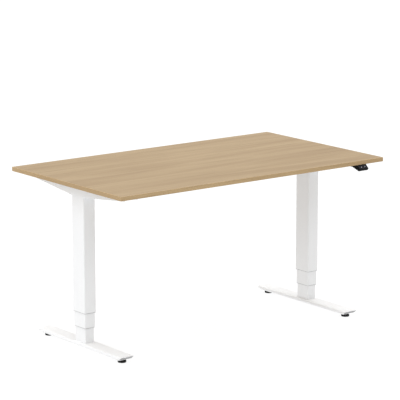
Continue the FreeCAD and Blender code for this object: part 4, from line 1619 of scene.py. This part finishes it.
@dataclass
class Handset:
    """Two-button handset under the front edge, with a sloping faceplate."""

    edge: float = 1.6 * MM
    chin: float = 7.0 * MM
    wedge_length: float = 33.0 * MM
    rear_depth: float = 10.0 * MM
    corner_radii: tuple[float, ...] = (0.6 * MM, 2.6 * MM, 2.6 * MM, 4.0 * MM, 1.6 * MM, 0.4 * MM)
    face_size: tuple[float, float] = (45.0 * MM, 17.5 * MM)
    face_corner: float = 2.5 * MM
    face_thickness: float = 1.5 * MM
    face_sunk: float = 0.8 * MM
    face_proud: float = 0.22 * MM
    button_size: tuple[float, float] = (16.0 * MM, 11.5 * MM)
    button_corner: float = 3.0 * MM
    button_gap: float = 0.3 * MM
    button_pitch: float = 20.0 * MM
    button_proud: float = 1.2 * MM
    button_depth: float = 2.7 * MM
    arrow: float = 4.6 * MM
    arrow_proud: float = 0.08 * MM
    arrow_sunk: float = 0.16 * MM
    arrow_finish: Finish = MouldedPlastic((0.80, 0.80, 0.84), pit_scale=2200.0, depth=0.01 * MM)

    def build(self) -> None:
        """Housing, faceplate and the buttons with their arrows; plate and board are carried over."""
        dress_node("handset_circuit_board", Slot.CIRCUIT_GREEN)
        dress_node("handset_mount_plate", Slot.HANDSET_BLACK)
        self.build_housing()
        self.build_face()
        for name, side, points_up in (("up", -1, 1), ("down", 1, -1)):
            self.build_button(f"{name}_button", side, points_up)

    def face_placement(self) -> Placement:
        """The sloping face: x across it, y up the slope and z out of it, at its outer side.

        Returns:
            The placement, centred on the faceplate's outer side.
        """
        joint = next(joint for joint in frame["joints"] if joint["name"] == "up_button_press")
        inward = np.array(joint["axis"], dtype=float)
        normal = -inward / np.linalg.norm(inward)
        across = np.array([1.0, 0.0, 0.0])
        centre = node_bounds("handset_faceplate").centre + normal * self.face_thickness / 2
        return Placement(tuple(centre), tuple(across), tuple(np.cross(normal, across)), tuple(normal))

    def build_housing(self) -> None:
        """The wedge: its rounded side view carried across, drawn in at both ends."""
        box = node_bounds("handset_housing")
        face = self.face_placement()
        middle = face.origin
        slope = face.y_axis[2] / face.y_axis[1]
        front = box.low[1]
        top = box.high[2]
        crest = middle[1] + (top - middle[2]) / slope
        step = top - self.rear_depth
        corners = np.array([[crest, top], [front, middle[2] + (front - middle[1]) * slope],
                            [front + self.chin, box.low[2]], [crest + self.wedge_length, step],
                            [box.high[1], step], [box.high[1], top]])
        half = box.size[0] / 2
        shell = loft(rounded_polygon(corners, np.array(self.corner_radii), 7),
                     block_profile(-half, half, self.edge, self.edge, 6), ALONG_X.at(box.centre[0], 0.0, 0.0))
        Piece("handset_housing_moulded", "top", Slot.HANDSET_BLACK, ("handset_housing",)).make(shell)

    def build_face(self) -> None:
        """The faceplate, a little proud of the housing, with an opening round each key."""
        rim = rounded_rectangle(self.face_size[0], self.face_size[1], self.face_corner, 7)
        gap = self.button_gap
        opening = rounded_rectangle(self.button_size[0] + 2 * gap, self.button_size[1] + 2 * gap,
                                    self.button_corner + gap, 8)
        windows = [opening + np.array([side * self.button_pitch / 2, 0.0]) for side in (-1, 1)]
        profile = block_profile(-self.face_sunk, self.face_proud, 0.1 * MM, 0.15 * MM, 4)
        panel = Piece("handset_faceplate_panel", "top", Slot.PANEL_GREY, ("handset_faceplate",))
        panel.make(windowed(rim, windows, profile, self.face_placement()))

    def build_button(self, name: str, side: int, points_up: int) -> None:
        """A cushioned key with a dished top, and its raised arrow.

        Args:
            name: the button's node and body.
            side: -1 for the left key and 1 for the right one.
            points_up: 1 for an arrow that points up the slope, -1 for down.
        """
        face = self.face_placement()
        place = face.at(*face.put(np.array([side * self.button_pitch / 2, 0.0, 0.0])))
        top = self.button_proud
        outline = rounded_rectangle(self.button_size[0], self.button_size[1], self.button_corner, 8)
        dish = np.array([[1.6 * MM, top - 0.04 * MM], [2.6 * MM, top - 0.12 * MM]])
        profile = np.concatenate([block_profile(-self.button_depth, top, 0.2 * MM, 0.7 * MM, 5), dish])
        Piece(f"{name}_key", name, Slot.BUTTON_GREY, (name,)).make(loft(outline, profile, place))
        size = self.arrow / 2
        corners = np.array([[-size, -0.6 * size], [size, -0.6 * size], [0.0, 0.9 * size]])
        corners = (corners * np.array([1.0, points_up]))[::points_up]
        relief = block_profile(top - self.arrow_sunk, top + self.arrow_proud, 0.01 * MM, 0.06 * MM, 3)
        arrow = Piece(f"{name}_arrow", name, Slot.BUTTON_GREY, print_finish=self.arrow_finish)
        arrow.make(loft(rounded_polygon(corners, np.full(3, 0.35 * MM), 4), relief, place))


# ---------------------------------------------------------------- inner works


@dataclass
class InnerWorks:
    """Drive parts and pads inside the columns, carried over from the frame."""

    groups: tuple[tuple[Slot, tuple[str, ...]], ...] = (
        (Slot.SLIDE_PAD_PLASTIC, ("inner_slide_pads", "middle_slide_pads")),
        (Slot.NUT_PLASTIC, ("lower_drive_nuts", "upper_drive_nuts")),
        (Slot.GEARBOX_ALLOY, ("spindle_bearings", "left_gearbox", "right_gearbox")),
        (Slot.SPINDLE_STEEL, ("left_lower_spindle", "right_lower_spindle", "left_upper_spindle",
                              "right_upper_spindle")),
        (Slot.GEAR_BRONZE, ("left_drive_gear", "right_drive_gear")),
        (Slot.ZINC_STEEL, ("glide_nuts",)),
    )

    def build(self) -> None:
        """Dresses every node of every group."""
        for slot, nodes in self.groups:
            for node in nodes:
                dress_node(node, slot)


# ---------------------------------------------------------------- studio


@dataclass(frozen=True)
class Sun:
    """A distant soft light: its strength, its spread in degrees and where it comes from."""

    name: str
    strength: float
    spread: float
    comes_from: tuple[float, float, float]

    def hang(self) -> None:
        """Puts the light in the scene."""
        light = bpy.data.lights.new(self.name, "SUN")
        light.energy = self.strength
        light.angle = math.radians(self.spread)
        lamp = bpy.data.objects.new(self.name, light)
        lamp.rotation_mode = "QUATERNION"
        lamp.rotation_quaternion = Vector(self.comes_from).to_track_quat("Z", "Y")
        bpy.context.scene.collection.objects.link(lamp)


@dataclass
class Studio:
    """Pale floor, soft light and the camera."""

    floor_colour: Colour = (0.14, 0.14, 0.14)
    floor_glow: float = 0.89
    floor_half: float = 60.0
    floor_speckle: float = 0.998
    sky_top_from: float = 0.9
    sky_low: float = 0.09
    sky_high: float = 1.62
    suns: tuple[Sun, ...] = (
        Sun("left_softbox", 0.52, 60.0, (-0.85, 0.10, 0.45)),
        Sun("right_softbox", 0.57, 50.0, (0.42, 0.25, 0.87)),
    )
    camera_place: tuple[float, float, float] = (-5.731, -7.475, 2.532)
    camera_turn: float = -37.487
    camera_drop: float = 11.837
    lens: float = 200.8
    sensor: float = 36.0

    def build(self) -> None:
        """Everything that isn't part of the desk."""
        scene = bpy.context.scene
        scene.view_settings.view_transform = "Standard"
        self.build_floor()
        self.build_light()
        self.build_camera()

    def build_floor(self) -> None:
        """A wide flat floor, lit from within like a light table, and clear from below."""
        half = self.floor_half
        corners = [(-half, -half, 0.0), (half, -half, 0.0), (half, half, 0.0), (-half, half, 0.0)]
        mesh = bpy.data.meshes.new("floor")
        mesh.from_pydata(corners, [], [(0, 1, 2, 3)])
        graph = Graph("pale_floor")
        speckle = graph.remap(graph.noise(graph.vector(), 3.0, 4.0), 0.3, 0.7)
        tone = graph.blend(speckle, rgba(self.floor_colour, self.floor_speckle), rgba(self.floor_colour))
        graph.set(Base_Color=tone, Roughness=0.9, Specular_IOR_Level=0.0)
        graph.set(Emission_Color=(1.0, 1.0, 1.0, 1.0), Emission_Strength=self.floor_glow)
        clear = graph.tree.nodes.new("ShaderNodeBsdfTransparent")
        mix = graph.tree.nodes.new("ShaderNodeMixShader")
        geometry = graph.tree.nodes.new("ShaderNodeNewGeometry")
        output = next(node for node in graph.tree.nodes if node.type == "OUTPUT_MATERIAL")
        graph.tree.links.new(geometry.outputs["Backfacing"], mix.inputs["Fac"])
        graph.tree.links.new(graph.shader.outputs["BSDF"], mix.inputs[1])
        graph.tree.links.new(clear.outputs["BSDF"], mix.inputs[2])
        graph.tree.links.new(mix.outputs["Shader"], output.inputs["Surface"])
        mesh.materials.append(graph.material)
        floor = bpy.data.objects.new("floor", mesh)
        bpy.context.scene.collection.objects.link(floor)

    def build_light(self) -> None:
        """Both soft lights, and a white sky whose strength rises smoothly towards the zenith."""
        for sun in self.suns:
            sun.hang()
        world = bpy.data.worlds.new("studio")
        world.use_nodes = True
        nodes = world.node_tree.nodes
        links = world.node_tree.links
        direction = nodes.new("ShaderNodeTexCoord")
        parts = nodes.new("ShaderNodeSeparateXYZ")
        ramp = nodes.new("ShaderNodeMapRange")
        ramp.interpolation_type = "SMOOTHSTEP"
        ramp.inputs["From Max"].default_value = self.sky_top_from
        ramp.inputs["To Min"].default_value = self.sky_low
        ramp.inputs["To Max"].default_value = self.sky_high
        links.new(direction.outputs["Generated"], parts.inputs["Vector"])
        links.new(parts.outputs["Z"], ramp.inputs["Value"])
        links.new(ramp.outputs["Result"], nodes["Background"].inputs["Strength"])
        nodes["Background"].inputs["Color"].default_value = (1.0, 1.0, 1.0, 1.0)
        bpy.context.scene.world = world

    def build_camera(self) -> None:
        """A long lens above head height, looking down over the left front corner."""
        camera = bpy.data.cameras.new("camera")
        camera.lens = self.lens
        camera.sensor_width = self.sensor
        camera.clip_end = 200.0
        holder = bpy.data.objects.new("camera", camera)
        holder.location = self.camera_place
        turn = math.radians(self.camera_turn)
        drop = math.radians(self.camera_drop)
        look = Vector((-math.sin(turn) * math.cos(drop), math.cos(turn) * math.cos(drop), -math.sin(drop)))
        holder.rotation_mode = "QUATERNION"
        holder.rotation_quaternion = look.to_track_quat("-Z", "Y")
        bpy.context.scene.collection.objects.link(holder)
        bpy.context.scene.camera = holder


def main() -> None:
    """Builds the desk from the floor up, then the studio."""
    logging.basicConfig(level=logging.INFO, format="%(name)s %(message)s")
    down = (0.0, 0.0, -1.0)
    outwards = (-1.0, 0.0, 0.0)
    screws = [FastenerGroup(node, "top", Recess.CROSS, 3.5 * MM, 2.5 * MM, down)
              for node in ("tabletop_screws", "control_box_screws", "handset_screws")]
    bolts = [FastenerGroup(node, body, Recess.HEXAGON, 4.0 * MM, 3.0 * MM, head_side)
             for node, body, head_side in (("foot_bolts", "base", down), ("beam_bolts", "top", outwards))]
    sides = [part(side) for side in ("left", "right") for part in (Foot, Column, SideBracket, Motor)]
    beams = [Crossbeam(place) for place in ("front", "rear")]
    whole = [Tabletop(), ControlBox(), Handset(), InnerWorks(), EndPlugs(), Studio()]
    for part in [*sides, *beams, *screws, *bolts, *whole]:
        part.build()


if __name__ == "__main__":
    main()
